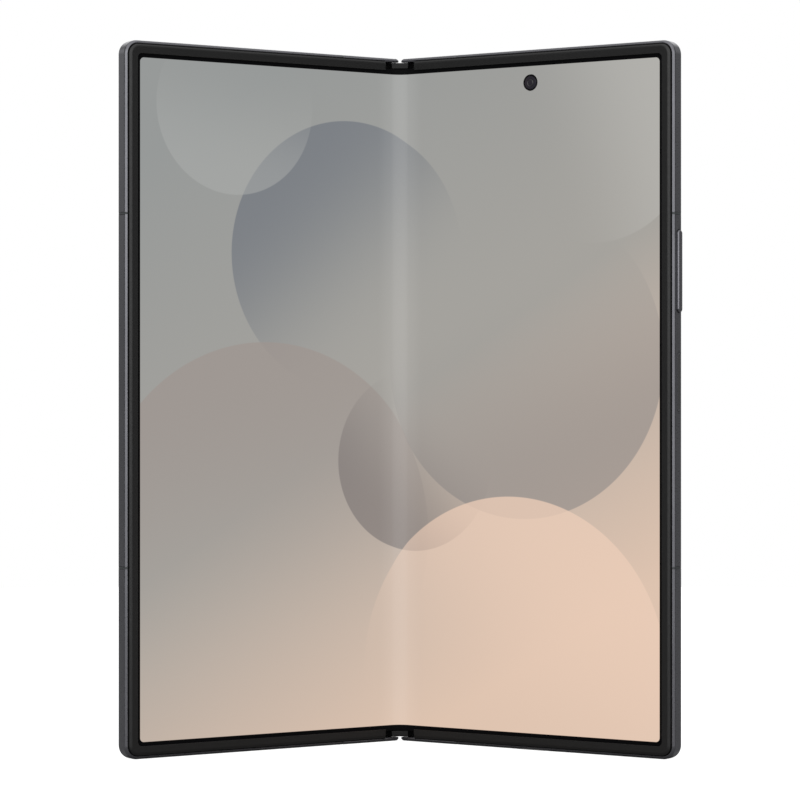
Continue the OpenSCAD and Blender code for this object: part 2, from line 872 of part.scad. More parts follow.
module support_plate() {
    slab(screen_back, screen_back + support_t)
        leaf_outline(support_x, screen_inset, bezel_corner_r);
}

// Back glass outline, inside the frame's back lip
module back_cover() {
    inset = back_lip + glass_gap;
    slab(seat_y, leaf_t) leaf_outline(glass_x, inset, corner_r - inset);
}

module battery(z) {
    color("darkslategray") slab(cavity_front, lid_y) round_rect(cavity_x, z, battery_r);
}

// Circuit board with chips on its back
module board(x, z, places) {
    back = cavity_front + board_t;
    slab(cavity_front, back) round_rect(x, z, board_r);
    translate([x[0], 0, z[0]]) for (c = places)
        block([c[0] - c[2] / 2, c[0] + c[2] / 2], [back, back + chip_t],
            [c[1] - c[3] / 2, c[1] + c[3] / 2]);
}

// Square body of a small camera
module camera_body(x) {
    half = camera_box / 2;
    slab(cavity_front, lid_y)
        round_rect([x - half, x + half], [camera_z - half, camera_z + half], part_r);
}

module magnets() {
    for (z = magnet_z) block([leaf_w - seat_reach - magnet_w, leaf_w - seat_reach],
        [cavity_front, cavity_back - magnet_gap], [z, z + magnet_h]);
}

// Left leaf

module left_frame() {
    color("gray") left_place() difference() {
        frame_blank(left_arm_z, left_barrel_z);
        translate([tray_x, tray_mid_y, leaf_h - seat_reach - over])
            linear_extrude(seat_reach + 2 * over)
                pill(tray_w + 2 * glass_gap, tray_front_h + 2 * glass_gap);
        translate([tray_x - tray_w / 2 - ejector_gap, tray_mid_y, leaf_h - seat_reach - over])
            cylinder(d = ejector_d, h = seat_reach + 2 * over);
        for (i = [0:outer_holes - 1]) rail_hole(outer_hole_x + i * hole_pitch, hole_d, true);
        rail_hole(outer_mic_x, mic_d, false);
    }
}

module left_board() {
    color("darkgreen") left_place()
        board([cavity_x[0], tray_x - board_tray_gap], left_board_z, left_chips);
}

module cover_display() {
    color("black") left_place() difference() {
        slab(cavity_back, seat_y)
            leaf_outline(glass_x + glass_seat_w + part_gap, seat_reach + part_gap, board_r);
        round_y(cover_camera_x, camera_z, 0, leaf_t, camera_hole_d / 2);
        block(earpiece_x, [0, leaf_t], [earpiece_top - earpiece_h - earpiece_side, leaf_h]);
    }
}

module cover_camera() {
    color("black") left_place() {
        camera_body(cover_camera_x);
        round_y(cover_camera_x, camera_z, lid_y - camera_fit, seat_y - camera_fit / 2,
            camera_hole_d / 2 - camera_fit);
    }
}

module earpiece() {
    color("dimgray") left_place() slab(cavity_front, seat_y)
        round_rect(earpiece_x + [earpiece_side, -earpiece_side],
            [earpiece_top - earpiece_h, earpiece_top], part_r);
}

module cover_glass() {
    color("midnightblue") left_place() difference() {
        back_cover();
        translate([cover_camera_x, 0, leaf_h - seat_reach - over])
            slab(0, leaf_t + over) pill(slit_w, slit_h);
    }
}

module sim_tray() {
    half = sim_size[0] / 2;
    color("gray") left_place() {
        translate([tray_x, tray_mid_y, tray_z]) linear_extrude(frame_wall)
            pill(tray_w, tray_front_h);
        difference() {
            block([tray_x - half - tray_wall, tray_x + half + tray_wall], tray_y,
                [tray_z - tray_len, tray_z]);
            block([tray_x - half - fit, tray_x + half + fit],
                [tray_y[0] + tray_floor, tray_y[1] + over],
                [card_z - fit, card_z + sim_size[2] + fit]);
        }
    }
}

module sim_card() {
    half = sim_size[0] / 2;
    floor_y = tray_y[0] + tray_floor;
    color("white") left_place() block([tray_x - half, tray_x + half],
        [floor_y, floor_y + sim_size[1]], [card_z, card_z + sim_size[2]]);
}

// Right leaf

// Outline of a key in y and z about its centre
module key_outline(length, grow, end_grow) {
    pill(key_w + 2 * grow, length + 2 * end_grow);
}

// Hole for a key in the frame, and room for its pad behind the wall
module key_hole(z, length) {
    half = length / 2 + key_pad_over + key_pad_room;
    along_x(leaf_w - frame_wall - over, leaf_w + over)
        translate([key_y, z]) key_outline(length, key_side_fit, key_slot_fit);
    block([leaf_w - seat_reach - over, leaf_w - frame_wall],
        [key_y - key_w / 2 - key_side_fit, key_y + key_w / 2 + key_side_fit],
        [z - half, z + half]);
}

// A key up to a given height above the frame, with its pad
module key_body(z, length, proud) {
    half = length / 2 + key_pad_over;
    along_x(key_pad_x, leaf_w + proud) translate([key_y, z]) key_outline(length, 0, 0);
    block([key_pad_x, key_pad_x + key_pad_t], [key_y - key_w / 2, key_y + key_w / 2],
        [z - half, z + half]);
}

module key_nub(z) {
    translate([key_pad_x - nub_len, key_y, z]) rotate([0, 90, 0])
        cylinder(r = nub_r, h = nub_len);
}

// Socket's outline with a clearance, from outside the frame to past the socket's end
module usb_room(grow) {
    translate([usb_x, hole_y, -over]) linear_extrude(usb_len + over + grow)
        pill(usb_outer_w + 2 * grow, usb_outer_h + 2 * grow);
}

module right_frame() {
    color("gray") right_place() difference() {
        union() {
            frame_blank(right_arm_z, right_barrel_z);
            block([strip_x - bracket_t, strip_x], [cavity_front, cavity_back],
                [strip_z[0] - bracket_over, strip_z[1] + bracket_over]);
        }
        key_hole(volume_z, volume_len);
        key_hole(power_z, power_len);
        usb_room(fit);
        for (i = [0:speaker_holes - 1])
            rail_hole(speaker_x + speaker_lead + i * hole_pitch, hole_d, false);
        for (upper = [false, true]) rail_hole(inner_mic_x, mic_d, upper);
        round_y(camera_x, camera_z, 0, cavity_front + over, camera_hole_d / 2);
    }
}

module right_display() {
    color("black") right_place() difference() {
        display();
        round_y(camera_x, camera_z, 0, leaf_t, camera_hole_d / 2);
    }
}

module right_support_plate() {
    color("silver") right_place() difference() {
        support_plate();
        round_y(camera_x, camera_z, 0, leaf_t, camera_hole_d / 2);
        usb_room(glass_gap);
    }
}

module inner_camera() {
    color("black") right_place() {
        camera_body(camera_x);
        round_y(camera_x, camera_z, screen_recess + camera_fit, cavity_front + camera_fit,
            camera_hole_d / 2 - camera_fit);
    }
}

module usb_socket() {
    color("silver") right_place() translate([usb_x, hole_y, 0]) difference() {
        linear_extrude(usb_len) pill(usb_outer_w, usb_outer_h);
        translate([0, 0, -over]) linear_extrude(usb_len + over - usb_wall) pill(usb_w, usb_h);
    }
}

module usb_tongue() {
    color("black") right_place() block([usb_x - tongue_w / 2, usb_x + tongue_w / 2],
        [hole_y - tongue_t / 2, hole_y + tongue_t / 2], [tongue_start, usb_len - usb_wall]);
}

module main_board() {
    color("darkgreen") right_place()
        board([cavity_x[0], island_x - island_w / 2 + board_lap], main_board_z, main_chips);
}

module shield_cans() {
    color("lightgray") right_place() for (i = [0, 1])
        block([cavity_x[0] + can_side, island_x - island_w / 2],
            [cavity_front + board_t, lid_y], [can_z[i], can_z[i] + can_h[i]]);
}

module back_glass() {
    color("midnightblue") right_place() difference() {
        back_cover();
        translate([island_x, 0, island_z]) slab(0, leaf_t + over)
            pill(island_w - 2 * island_wall, island_len - 2 * island_wall);
    }
}

module camera_island() {
    color("dimgray") right_place() difference() {
        translate([island_x, 0, island_z]) difference() {
            slab(leaf_t, island_top) pill(island_w, island_len);
            slab(leaf_t - over, island_top - island_top_t)
                pill(island_w - 2 * island_wall, island_len - 2 * island_wall);
        }
        for (z = lens_z) round_y(island_x, z, leaf_t, island_top + over, lens_d / 2 + fit);
        round_y(flash_x, flash_z, leaf_t, island_top + over, flash_d / 2 + fit);
    }
}

module lens_rings() {
    color("silver") right_place() for (z = lens_z) difference() {
        round_y(island_x, z, island_top, island_top + lens_ring_h, lens_d / 2 + lens_ring_w);
        round_y(island_x, z, island_top - over, island_top + over, lens_d / 2 + fit);
    }
}

module lens_glasses() {
    color("black") right_place() for (z = lens_z)
        round_y(island_x, z, lens_front, lens_front + lens_t, lens_d / 2);
}

module rear_cameras() {
    half = lens_d / 2 - module_side;
    body_back = leaf_t + module_rise;
    color("dimgray") right_place() for (z = lens_z) {
        slab(cavity_front, body_back)
            round_rect([island_x - half, island_x + half], [z - half, z + half], module_r);
        round_y(island_x, z, body_back - module_side, lens_front, lens_d / 2 - module_step);
    }
}

module flash_lens() {
    neck_back = island_top - island_top_t;
    color("lightyellow") right_place() {
        round_y(flash_x, flash_z, neck_back, island_top, flash_d / 2);
        round_y(flash_x, flash_z, leaf_t + flash_step, neck_back, flash_d / 2 - flash_step);
    }
}

module loudspeaker() {
    z = seat_reach + speaker_gap;
    color("dimgray") right_place() slab(cavity_front, cavity_back)
        round_rect([speaker_x, cavity_x[1]], [z, z + speaker_h], speaker_r);
}

module vibration_motor() {
    z = seat_reach + motor_gap;
    color("silver") right_place() slab(cavity_front, cavity_back - motor_back_gap)
        round_rect([cavity_x[0], cavity_x[0] + motor_w], [z, z + motor_h], motor_r);
}

module charging_coil() {
    color("peru") right_place() difference() {
        round_y(coil_x, coil_z, lid_y, lid_y + coil_t, coil_r[1]);
        round_y(coil_x, coil_z, 0, leaf_t, coil_r[0]);
    }
}

module key_switches() {
    color("orange") right_place() {
        block([strip_x, strip_x + strip_t], [key_y - dome_r[0], cavity_back], strip_z);
        for (z = [each volume_nub_z, power_z])
            translate([strip_x + strip_t, key_y, z]) rotate([0, 90, 0])
                cylinder(r1 = dome_r[0], r2 = dome_r[1], h = dome_t);
    }
}

// The key rocks on the round rib between its two nubs
module volume_key() {
    color("gray") right_place() {
        key_body(volume_z, volume_len, key_proud);
        for (z = volume_nub_z) key_nub(z);
        round_y(key_pad_x + key_pad_t / 2, volume_z, key_y - key_w / 2, key_y + key_w / 2, fulcrum_r);
    }
}

// Outline of the sensor that is let into the power key
module sensor_outline() {
    translate([key_y, power_z]) pill(key_w - 2 * sensor_rim, power_len - 2 * sensor_end);
}

module power_key() {
    color("gray") right_place() {
        difference() {
            key_body(power_z, power_len, 0);
            along_x(leaf_w - sensor_depth, leaf_w + over) sensor_outline();
        }
        key_nub(power_z);
    }
}

module fingerprint_sensor() {
    color("black") right_place()
        along_x(leaf_w - sensor_depth, leaf_w - sensor_sunk) sensor_outline();
}

spine_cover();
spine_caps();
hinge_housings();
housing_screws();
friction_shims();
display_fold();
hinge_flex_cables();
sync_slider();
left_frame();
left_antenna_bands();
left_place() bezel();  // left_bezel
color("black") left_place() display();  // left_display
color("silver") left_place() support_plate();  // left_support_plate
left_place() hinge_arms(left_arm_z, left_barrel_z);  // left_hinge_arms
color("silver") left_place() arm_screw_places(left_arm_z, left_barrel_z) screw(arm_screw);  // left_arm_screws
left_place() sync_barrel(left_arm_z, left_barrel_z);  // left_sync_barrel
left_place() battery(left_battery_z);  // left_battery
left_board();
color("orange") left_place() cable_ends();  // left_cable_ends
color("silver") left_place() magnets();  // left_magnets
cover_glass();
cover_display();
cover_camera();
earpiece();
sim_tray();
sim_card();
right_frame();
right_antenna_bands();
right_place() bezel();  // right_bezel
right_display();
right_support_plate();
right_place() hinge_arms(right_arm_z, right_barrel_z);  // right_hinge_arms
color("silver") right_place() arm_screw_places(right_arm_z, right_barrel_z) screw(arm_screw);  // right_arm_screws
right_place() sync_barrel(right_arm_z, right_barrel_z);  // right_sync_barrel
right_place() battery(right_battery_z);  // right_battery
main_board();
shield_cans();
color("orange") right_place() cable_ends();  // right_cable_ends
color("silver") right_place() magnets();  // right_magnets
back_glass();
camera_island();
lens_rings();
lens_glasses();
rear_cameras();
flash_lens();
inner_camera();
usb_socket();
usb_tongue();
loudspeaker();
vibration_motor();
charging_coil();
key_switches();
volume_key();
power_key();
fingerprint_sensor();
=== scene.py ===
import sys

import json
import math

import bpy
from bpy.props import FloatProperty, FloatVectorProperty, PointerProperty
from mathutils import Matrix, Vector
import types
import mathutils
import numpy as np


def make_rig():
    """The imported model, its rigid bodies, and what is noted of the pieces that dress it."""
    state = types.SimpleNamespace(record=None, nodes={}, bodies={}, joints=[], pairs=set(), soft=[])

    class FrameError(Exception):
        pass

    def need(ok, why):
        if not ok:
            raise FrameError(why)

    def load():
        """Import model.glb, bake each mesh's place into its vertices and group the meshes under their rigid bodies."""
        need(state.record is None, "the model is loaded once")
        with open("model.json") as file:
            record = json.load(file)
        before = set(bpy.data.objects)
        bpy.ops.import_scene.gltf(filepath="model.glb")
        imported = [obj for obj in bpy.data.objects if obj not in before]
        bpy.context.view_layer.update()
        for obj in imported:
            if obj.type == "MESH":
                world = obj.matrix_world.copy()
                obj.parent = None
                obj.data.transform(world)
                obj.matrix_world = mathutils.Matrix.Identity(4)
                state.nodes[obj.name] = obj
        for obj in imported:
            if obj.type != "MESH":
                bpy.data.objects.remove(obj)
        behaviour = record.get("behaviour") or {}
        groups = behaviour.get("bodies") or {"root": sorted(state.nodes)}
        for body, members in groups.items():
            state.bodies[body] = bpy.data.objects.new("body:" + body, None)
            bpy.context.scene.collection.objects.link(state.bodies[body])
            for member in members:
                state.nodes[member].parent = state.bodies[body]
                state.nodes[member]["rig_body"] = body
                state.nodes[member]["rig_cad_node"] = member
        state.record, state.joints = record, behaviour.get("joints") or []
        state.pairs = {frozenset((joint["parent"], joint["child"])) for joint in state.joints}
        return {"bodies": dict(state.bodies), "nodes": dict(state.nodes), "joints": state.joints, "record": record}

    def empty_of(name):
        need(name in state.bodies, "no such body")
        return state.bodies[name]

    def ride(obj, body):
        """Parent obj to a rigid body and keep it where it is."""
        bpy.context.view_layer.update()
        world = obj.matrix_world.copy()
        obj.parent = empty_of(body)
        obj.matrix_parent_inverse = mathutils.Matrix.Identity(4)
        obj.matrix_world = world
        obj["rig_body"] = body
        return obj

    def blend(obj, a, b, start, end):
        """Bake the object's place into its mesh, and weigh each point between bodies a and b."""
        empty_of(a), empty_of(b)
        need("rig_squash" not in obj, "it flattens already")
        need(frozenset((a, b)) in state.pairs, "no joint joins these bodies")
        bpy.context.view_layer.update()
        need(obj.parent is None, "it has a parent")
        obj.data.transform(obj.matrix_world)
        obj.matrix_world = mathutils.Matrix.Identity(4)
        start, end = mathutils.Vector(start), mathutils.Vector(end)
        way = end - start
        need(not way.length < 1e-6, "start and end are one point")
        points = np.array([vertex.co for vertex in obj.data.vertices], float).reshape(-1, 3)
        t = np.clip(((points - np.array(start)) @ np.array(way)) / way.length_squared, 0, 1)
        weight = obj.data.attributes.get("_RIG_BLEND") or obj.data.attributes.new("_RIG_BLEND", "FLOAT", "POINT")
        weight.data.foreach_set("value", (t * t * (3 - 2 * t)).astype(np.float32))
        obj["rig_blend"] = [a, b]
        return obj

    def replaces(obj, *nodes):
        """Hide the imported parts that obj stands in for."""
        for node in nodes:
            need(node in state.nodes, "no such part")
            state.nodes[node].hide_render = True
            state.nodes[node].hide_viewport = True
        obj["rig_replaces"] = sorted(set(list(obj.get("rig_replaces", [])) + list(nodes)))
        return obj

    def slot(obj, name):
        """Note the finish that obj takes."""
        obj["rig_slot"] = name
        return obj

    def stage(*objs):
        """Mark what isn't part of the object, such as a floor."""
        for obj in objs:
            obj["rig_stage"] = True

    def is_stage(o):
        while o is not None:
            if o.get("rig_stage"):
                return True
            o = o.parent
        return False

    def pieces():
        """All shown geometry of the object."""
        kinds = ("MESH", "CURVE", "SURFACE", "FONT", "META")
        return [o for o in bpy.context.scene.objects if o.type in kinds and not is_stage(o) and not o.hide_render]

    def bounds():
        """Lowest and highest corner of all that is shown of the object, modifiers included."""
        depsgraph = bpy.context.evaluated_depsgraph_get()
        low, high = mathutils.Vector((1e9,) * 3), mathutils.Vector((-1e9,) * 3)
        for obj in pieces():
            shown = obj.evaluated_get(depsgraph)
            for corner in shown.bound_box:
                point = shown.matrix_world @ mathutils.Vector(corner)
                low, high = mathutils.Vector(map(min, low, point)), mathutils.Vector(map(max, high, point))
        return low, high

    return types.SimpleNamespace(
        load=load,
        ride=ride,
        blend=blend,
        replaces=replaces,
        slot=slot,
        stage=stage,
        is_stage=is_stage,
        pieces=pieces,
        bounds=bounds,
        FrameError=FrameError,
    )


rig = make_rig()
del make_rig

bl_info = {
    "name": "Folding telephone finish",
    "version": (1, 0, 0),
    "blender": (4, 5, 0),
    "location": "3D View > Sidebar > Telephone",
    "description": "Finishes each piece of a folding telephone and sets its stage",
    "category": "Object",
}

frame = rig.load()
cad_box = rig.bounds()

MM = 0.001
MERGE = 1e-6
SIDES = ("left", "right")
SLOTS = {part["node"]: part["material_slot"] for part in frame["record"]["subparts"]}
BODIES = {n: body for body, ns in frame["record"]["behaviour"]["bodies"].items() for n in ns}

# The hinge: both leaves turn about upright axes, and each is drawn flat before it is turned
HINGE = next(joint for joint in frame["joints"] if joint["name"] == "right_fold")
TURN = math.radians(-HINGE["range_deg"][0])
AXIS_X, AXIS_Y = HINGE["pos_m"][:2]
AXIS_DEPTH = 1.05 * MM


def leaf_place(side):
    """Takes a flat leaf, x outward, y from front to back and z up, to its place."""
    place = (Matrix.Translation((AXIS_X, AXIS_Y, 0)) @ Matrix.Rotation(-TURN, 4, "Z")
             @ Matrix.Translation((-AXIS_X, -AXIS_DEPTH, 0)))
    return Matrix.Diagonal((-1, 1, 1, 1)) @ place if side == "left" else place


PLACE = {side: leaf_place(side) for side in SIDES}
FLAT = {side: PLACE[side].inverted() for side in SIDES}


def flat_box(node, side):
    """Lowest and highest corner of a node on its flat leaf."""
    points = [FLAT[side] @ v.co for v in frame["nodes"][node].data.vertices]
    return Vector(map(min, zip(*points))), Vector(map(max, zip(*points)))


LEAF = flat_box("right_frame", "right")[1]
SCREEN = flat_box("right_display", "right")
INNER_CAMERA = flat_box("inner_camera", "right")
INNER_EYE = sum(INNER_CAMERA, Vector()) / 2
COVER_EYE = sum(flat_box("cover_camera", "left"), Vector()) / 2

# The picture's map: so many units of it to a metre of screen
PICTURE_SCALE = 5

# Radii of the round holes that the screens leave for their cameras, and the seam round the
# inner camera's lens
SCREEN_HOLE = 1.87 * MM
HOLE_SEAM = 0.02 * MM
COVER_HOLE = 2.1 * MM

# The soft crease along the fold: how far it reaches from the middle, and how far its shading
# fills the fold there
CREASE_REACH = 7 * MM
CREASE_DEPTH = 0.65 * MM


class PhoneFinish(bpy.types.PropertyGroup):
    """Colours and edges of the telephone's own materials."""

    metal: FloatVectorProperty(
        name="Frame metal", description="Colour of the anodised frames and keys",
        default=(0.15, 0.15, 0.163), min=0, max=1, subtype="COLOR")
    bezel: FloatVectorProperty(
        name="Bezels", description="Colour of the raised rims round the inner screen",
        default=(0.0025, 0.0025, 0.0026), min=0, max=1, subtype="COLOR")
    bands: FloatVectorProperty(
        name="Antenna bands", description="Colour of the plastic bands across the frames",
        default=(0.045, 0.05, 0.052), min=0, max=1, subtype="COLOR")
    back: FloatVectorProperty(
        name="Back glass", description="Colour behind the satin back glass",
        default=(0.055, 0.057, 0.064), min=0, max=1, subtype="COLOR")
    edge: FloatProperty(
        name="Edge rounding", description="How far the frames' sharp edges are rounded",
        default=0.04 * MM, min=0.01 * MM, max=0.045 * MM, unit="LENGTH")
    shoulder: FloatProperty(
        name="Shoulder rounding", description="How far the frames' chamfers are rounded",
        default=0.18 * MM, min=0.05 * MM, max=0.25 * MM, unit="LENGTH")
    rim: FloatProperty(
        name="Bezel rounding", description="How far the slope of the bezels is rounded at its top",
        default=0.28 * MM, min=0.1 * MM, max=0.35 * MM, unit="LENGTH")


class PhonePicture(bpy.types.PropertyGroup):
    """The lit picture on the inner screen."""

    side_border: FloatProperty(
        name="Side border", description="From a leaf's outer face to the lit picture",
        default=3.55 * MM, min=2.9 * MM, max=6 * MM, unit="LENGTH")
    end_border: FloatProperty(
        name="End border", description="From a leaf's ends to the lit picture",
        default=3.8 * MM, min=2.9 * MM, max=6 * MM, unit="LENGTH")
    corner: FloatProperty(
        name="Corner radius", description="Radius of the lit picture's corners",
        default=0.95 * MM, min=0.1 * MM, max=5 * MM, unit="LENGTH")
    cool: FloatVectorProperty(
        name="Cool end", description="Colour of the picture's upper left",
        default=(0.297, 0.309, 0.305), min=0, max=1, subtype="COLOR")
    middle: FloatVectorProperty(
        name="Middle", description="Colour across the picture's middle",
        default=(0.37, 0.355, 0.328), min=0, max=1, subtype="COLOR")
    warm: FloatVectorProperty(
        name="Warm end", description="Colour of the picture's lower right",
        default=(0.715, 0.535, 0.42), min=0, max=1, subtype="COLOR")


class PhoneStage(bpy.types.PropertyGroup):
    """Camera, floor and lights."""

    lens: FloatProperty(
        name="Lens", description="Focal length of the camera, in millimetres on its sensor",
        default=134.36, min=20, max=300)
    distance: FloatProperty(
        name="Camera distance", description="From the camera to the middle of the telephone",
        default=0.67625, min=0.3, max=3, unit="LENGTH")
    height: FloatProperty(
        name="Camera height", description="Height of the camera above the floor",
        default=0.07914, min=0, max=1, unit="LENGTH")
    across: FloatProperty(
        name="Camera offset", description="How far the camera stands to the right of the middle",
        default=0.03 * MM, min=-0.5, max=0.5, unit="LENGTH")
    floor: FloatProperty(
        name="Floor radius", description="Radius of the pale floor",
        default=0.6, min=0.2, max=3, unit="LENGTH")
    lamps: FloatProperty(
        name="Lamps", description="Brightness of the studio's soft lamps",
        default=1, min=0, max=5)
    around: FloatProperty(
        name="Light around", description="Brightness of the studio between its lamps",
        default=0.22, min=0, max=5)


def settings(name):
    return getattr(bpy.context.scene, "phone_" + name)


# Choosing and shaping


def pick(piece):
    """Makes a piece the only one selected, in object mode."""
    active = bpy.context.view_layer.objects.active
    if active is not None and active.mode != "OBJECT":
        bpy.ops.object.mode_set(mode="OBJECT")
    for other in list(bpy.context.selected_objects):
        other.select_set(False)
    piece.select_set(True)
    bpy.context.view_layer.objects.active = piece


def edit(piece, kind="FACE", everything=True):
    """Opens a piece for editing, with all or nothing selected."""
    pick(piece)
    bpy.context.tool_settings.mesh_select_mode = (kind == "VERT", kind == "EDGE", kind == "FACE")
    bpy.ops.object.mode_set(mode="EDIT")
    bpy.ops.mesh.select_all(action="SELECT" if everything else "DESELECT")


def close_edit():
    bpy.ops.object.mode_set(mode="OBJECT")


def deselect(mesh):
    for parts in (mesh.vertices, mesh.edges, mesh.polygons):
        parts.foreach_set("select", [False] * len(parts))


def select_faces(piece, test):
    """Opens a piece with the faces selected whose centre and normal pass a test."""
    edit(piece, "FACE", False)
    close_edit()
    for face in piece.data.polygons:
        face.select = test(face.center, face.normal)
    if not any(face.select for face in piece.data.polygons):
        raise RuntimeError(f"no face of {piece.name} passes the test")
    bpy.ops.object.mode_set(mode="EDIT")


def select_edges(piece, least, test):
    """Opens a piece with the edges selected that are sharp enough and whose ends pass a test."""
    edit(piece, "EDGE", False)
    bpy.ops.mesh.edges_select_sharp(sharpness=math.radians(least))
    close_edit()
    mesh = piece.data
    spots = [v.co for v in mesh.vertices]
    chosen = [e.index for e in mesh.edges if e.select and all(test(spots[i]) for i in e.vertices)]
    deselect(mesh)
    for i in chosen:
        mesh.edges[i].select = True
        for end in mesh.edges[i].vertices:
            mesh.vertices[end].select = True
    if not chosen:
        raise RuntimeError(f"no edge of {piece.name} passes the test")
    bpy.ops.object.mode_set(mode="EDIT")


def apply_modifier(piece, kind, **values):
    pick(piece)
    modifier = piece.modifiers.new(kind.lower(), kind)
    for name, value in values.items():
        setattr(modifier, name, value)
    bpy.ops.object.modifier_apply(modifier=modifier.name)


def repeat(piece, count, pitch):
    """Makes a piece a row along x, so many times and a pitch apart."""
    apply_modifier(piece, "ARRAY", count=count, use_relative_offset=False,
                   use_constant_offset=True, constant_offset_displace=(pitch, 0, 0))


def smooth(piece, angle=35, weigh=True):
    """Shades a piece smooth except across sharp edges."""
    pick(piece)
    bpy.ops.object.shade_smooth_by_angle(angle=math.radians(angle))
    if weigh:
        apply_modifier(piece, "WEIGHTED_NORMAL", keep_sharp=True, weight=100)


def outward(piece):
    edit(piece)
    bpy.ops.mesh.normals_make_consistent(inside=False)
    close_edit()


def apply_place():
    """Puts the selected piece's place, turn and scale into its mesh."""
    bpy.ops.object.transform_apply(location=True, rotation=True, scale=True)


def settle(piece, side=None):
    """Takes a piece from the flat leaf to its place, with its object left at the origin."""
    pick(piece)
    if side:
        piece.matrix_world = PLACE[side] @ piece.matrix_basis
    apply_place()
    outward(piece)


def dress(piece, slot, body, *nodes):
    """Gives a piece its material and its body, and lets it stand for nodes."""
    piece.data.materials.clear()
    piece.data.materials.append(material(slot))
    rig.slot(piece, slot)
    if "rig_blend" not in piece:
        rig.ride(piece, body)
    if nodes:
        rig.replaces(piece, *nodes)
    return piece


def stand_for(piece, node):
    """Smooths a shaped copy of a node and dresses it to stand for the node."""
    smooth(piece)
    return dress(piece, SLOTS[node], BODIES[node], node)


def copy_node(node, name, pierced=False):
    """A merged copy of a node's mesh: flat faces whole, or in even triangles where pierced."""
    piece = bpy.data.objects.new(name, frame["nodes"][node].data.copy())
    bpy.context.scene.collection.objects.link(piece)
    pick(piece)
    if piece.data.has_custom_normals:
        bpy.ops.mesh.customdata_custom_splitnormals_clear()
    edit(piece, "VERT")
    bpy.ops.mesh.remove_doubles(threshold=MERGE)
    bpy.ops.mesh.dissolve_limited(angle_limit=math.radians(0.5))
    if pierced:
        bpy.ops.mesh.select_all(action="DESELECT")
        bpy.ops.mesh.select_face_by_sides(number=4, type="GREATER", extend=False)
        bpy.ops.mesh.quads_convert_to_tris(quad_method="BEAUTY", ngon_method="BEAUTY")
    close_edit()
    return piece


def round_all(piece, width, segments=2, least=30):
    apply_modifier(piece, "BEVEL", width=width, segments=segments, limit_method="ANGLE",
                   angle_limit=math.radians(least))


def soft_copy(node, width, segments=2, least=30, pierced=False):
    """A copy of a node with every sharp edge rounded, which stands for it."""
    piece = copy_node(node, node + "_finished", pierced)
    round_all(piece, width, segments, least)
    return stand_for(piece, node)


def add_mesh(kind, name, **values):
    """Adds a primitive alone and selected."""
    if bpy.context.view_layer.objects.active is not None:
        pick(bpy.context.view_layer.objects.active)
        bpy.context.view_layer.objects.active.select_set(False)
    getattr(bpy.ops.mesh, f"primitive_{kind}_add")(**values)
    piece = bpy.context.object
    piece.name = name
    piece.data.name = name
    return piece


# Materials


class Nodes:
    """Adds nodes to a tree; an input takes a plain value or another node's output."""

    def __init__(self, tree):
        self.tree = tree

    def node(self, kind, inputs=None, **values):
        made = self.tree.nodes.new("ShaderNode" + kind)
        for name, value in values.items():
            setattr(made, name, value)
        for name, value in (inputs or {}).items():
            if isinstance(value, bpy.types.NodeSocket):
                self.tree.links.new(value, made.inputs[name])
            else:
                made.inputs[name].default_value = value
        return made

    def math(self, operation, *values):
        return self.node("Math", dict(enumerate(values)), operation=operation).outputs[0]

    def spread(self, factor, low, high, start=0.3, end=0.7):
        return self.node("MapRange", {
            "Value": factor, "From Min": start, "From Max": end, "To Min": low,
            "To Max": high}).outputs["Result"]

    def blend(self, factor, first, second):
        return self.node("Mix", {0: factor, 6: first, 7: second}, data_type="RGBA").outputs[2]

    def distance(self, across, up, x=0.0, y=0.0):
        """Distance in a plane from a point to a spot."""
        out_x = self.math("SUBTRACT", across, x)
        out_y = self.math("SUBTRACT", up, y)
        return self.math("SQRT", self.math("ADD", self.math("MULTIPLY", out_x, out_x),
                                           self.math("MULTIPLY", out_y, out_y)))


class Finish(Nodes):
    """One material: plain values on its shader, and nodes for what varies."""

    PLAIN = {"metallic": "Metallic", "roughness": "Roughness", "specular": "Specular IOR Level",
             "coat": "Coat Weight", "coat_roughness": "Coat Roughness", "alpha": "Alpha",
             "emission": "Emission Strength", "base": "Base Color"}

    def __init__(self, look, **plain):
        self.material = bpy.data.materials.new(look + "_look")
        self.material.use_nodes = True
        super().__init__(self.material.node_tree)
        self.shader = self.tree.nodes["Principled BSDF"]
        for name, value in plain.items():
            self.shader.inputs[self.PLAIN[name]].default_value = value

    def to(self, name, socket):
        self.tree.links.new(socket, self.shader.inputs[name])

    def coordinates(self, stretch=(1, 1, 1), side=None):
        """Object coordinates, stretched, or those of the flat leaf on a side."""
        place = self.node("TexCoord").outputs["Object"]
        if side:
            mirror = (-1, 1, 1) if side == "left" else (1, 1, 1)
            place = self.node("Mapping", {
                "Vector": place, "Location": FLAT[side].to_translation(),
                "Rotation": (0, 0, TURN), "Scale": mirror}).outputs["Vector"]
        if tuple(stretch) != (1, 1, 1):
            place = self.node("Mapping", {"Vector": place, "Scale": stretch}).outputs["Vector"]
        return place

    def noise(self, size, detail=2.0, at=None):
        """Noise whose patches are about a size in metres."""
        return self.node("TexNoise", {
            "Vector": at or self.coordinates(), "Scale": 1 / size,
            "Detail": detail}).outputs["Fac"]

    def bump(self, height, depth, strength=1.0):
        """Relief whose full height is a depth in metres."""
        self.to("Normal", self.node("Bump", {
            "Height": height, "Distance": depth, "Strength": strength}).outputs["Normal"])

    def mottle(self, colour, share, size):
        """Varies the base colour a little over patches of a size."""
        dark = tuple(c * (1 - share) for c in colour) + (1,)
        light = tuple(min(1, c * (1 + share)) for c in colour) + (1,)
        patches = self.spread(self.noise(size, 3), 0, 1)
        self.to("Base Color", self.blend(patches, dark, light))


def rgba(colour):
    return tuple(colour)[:3] + (1,)


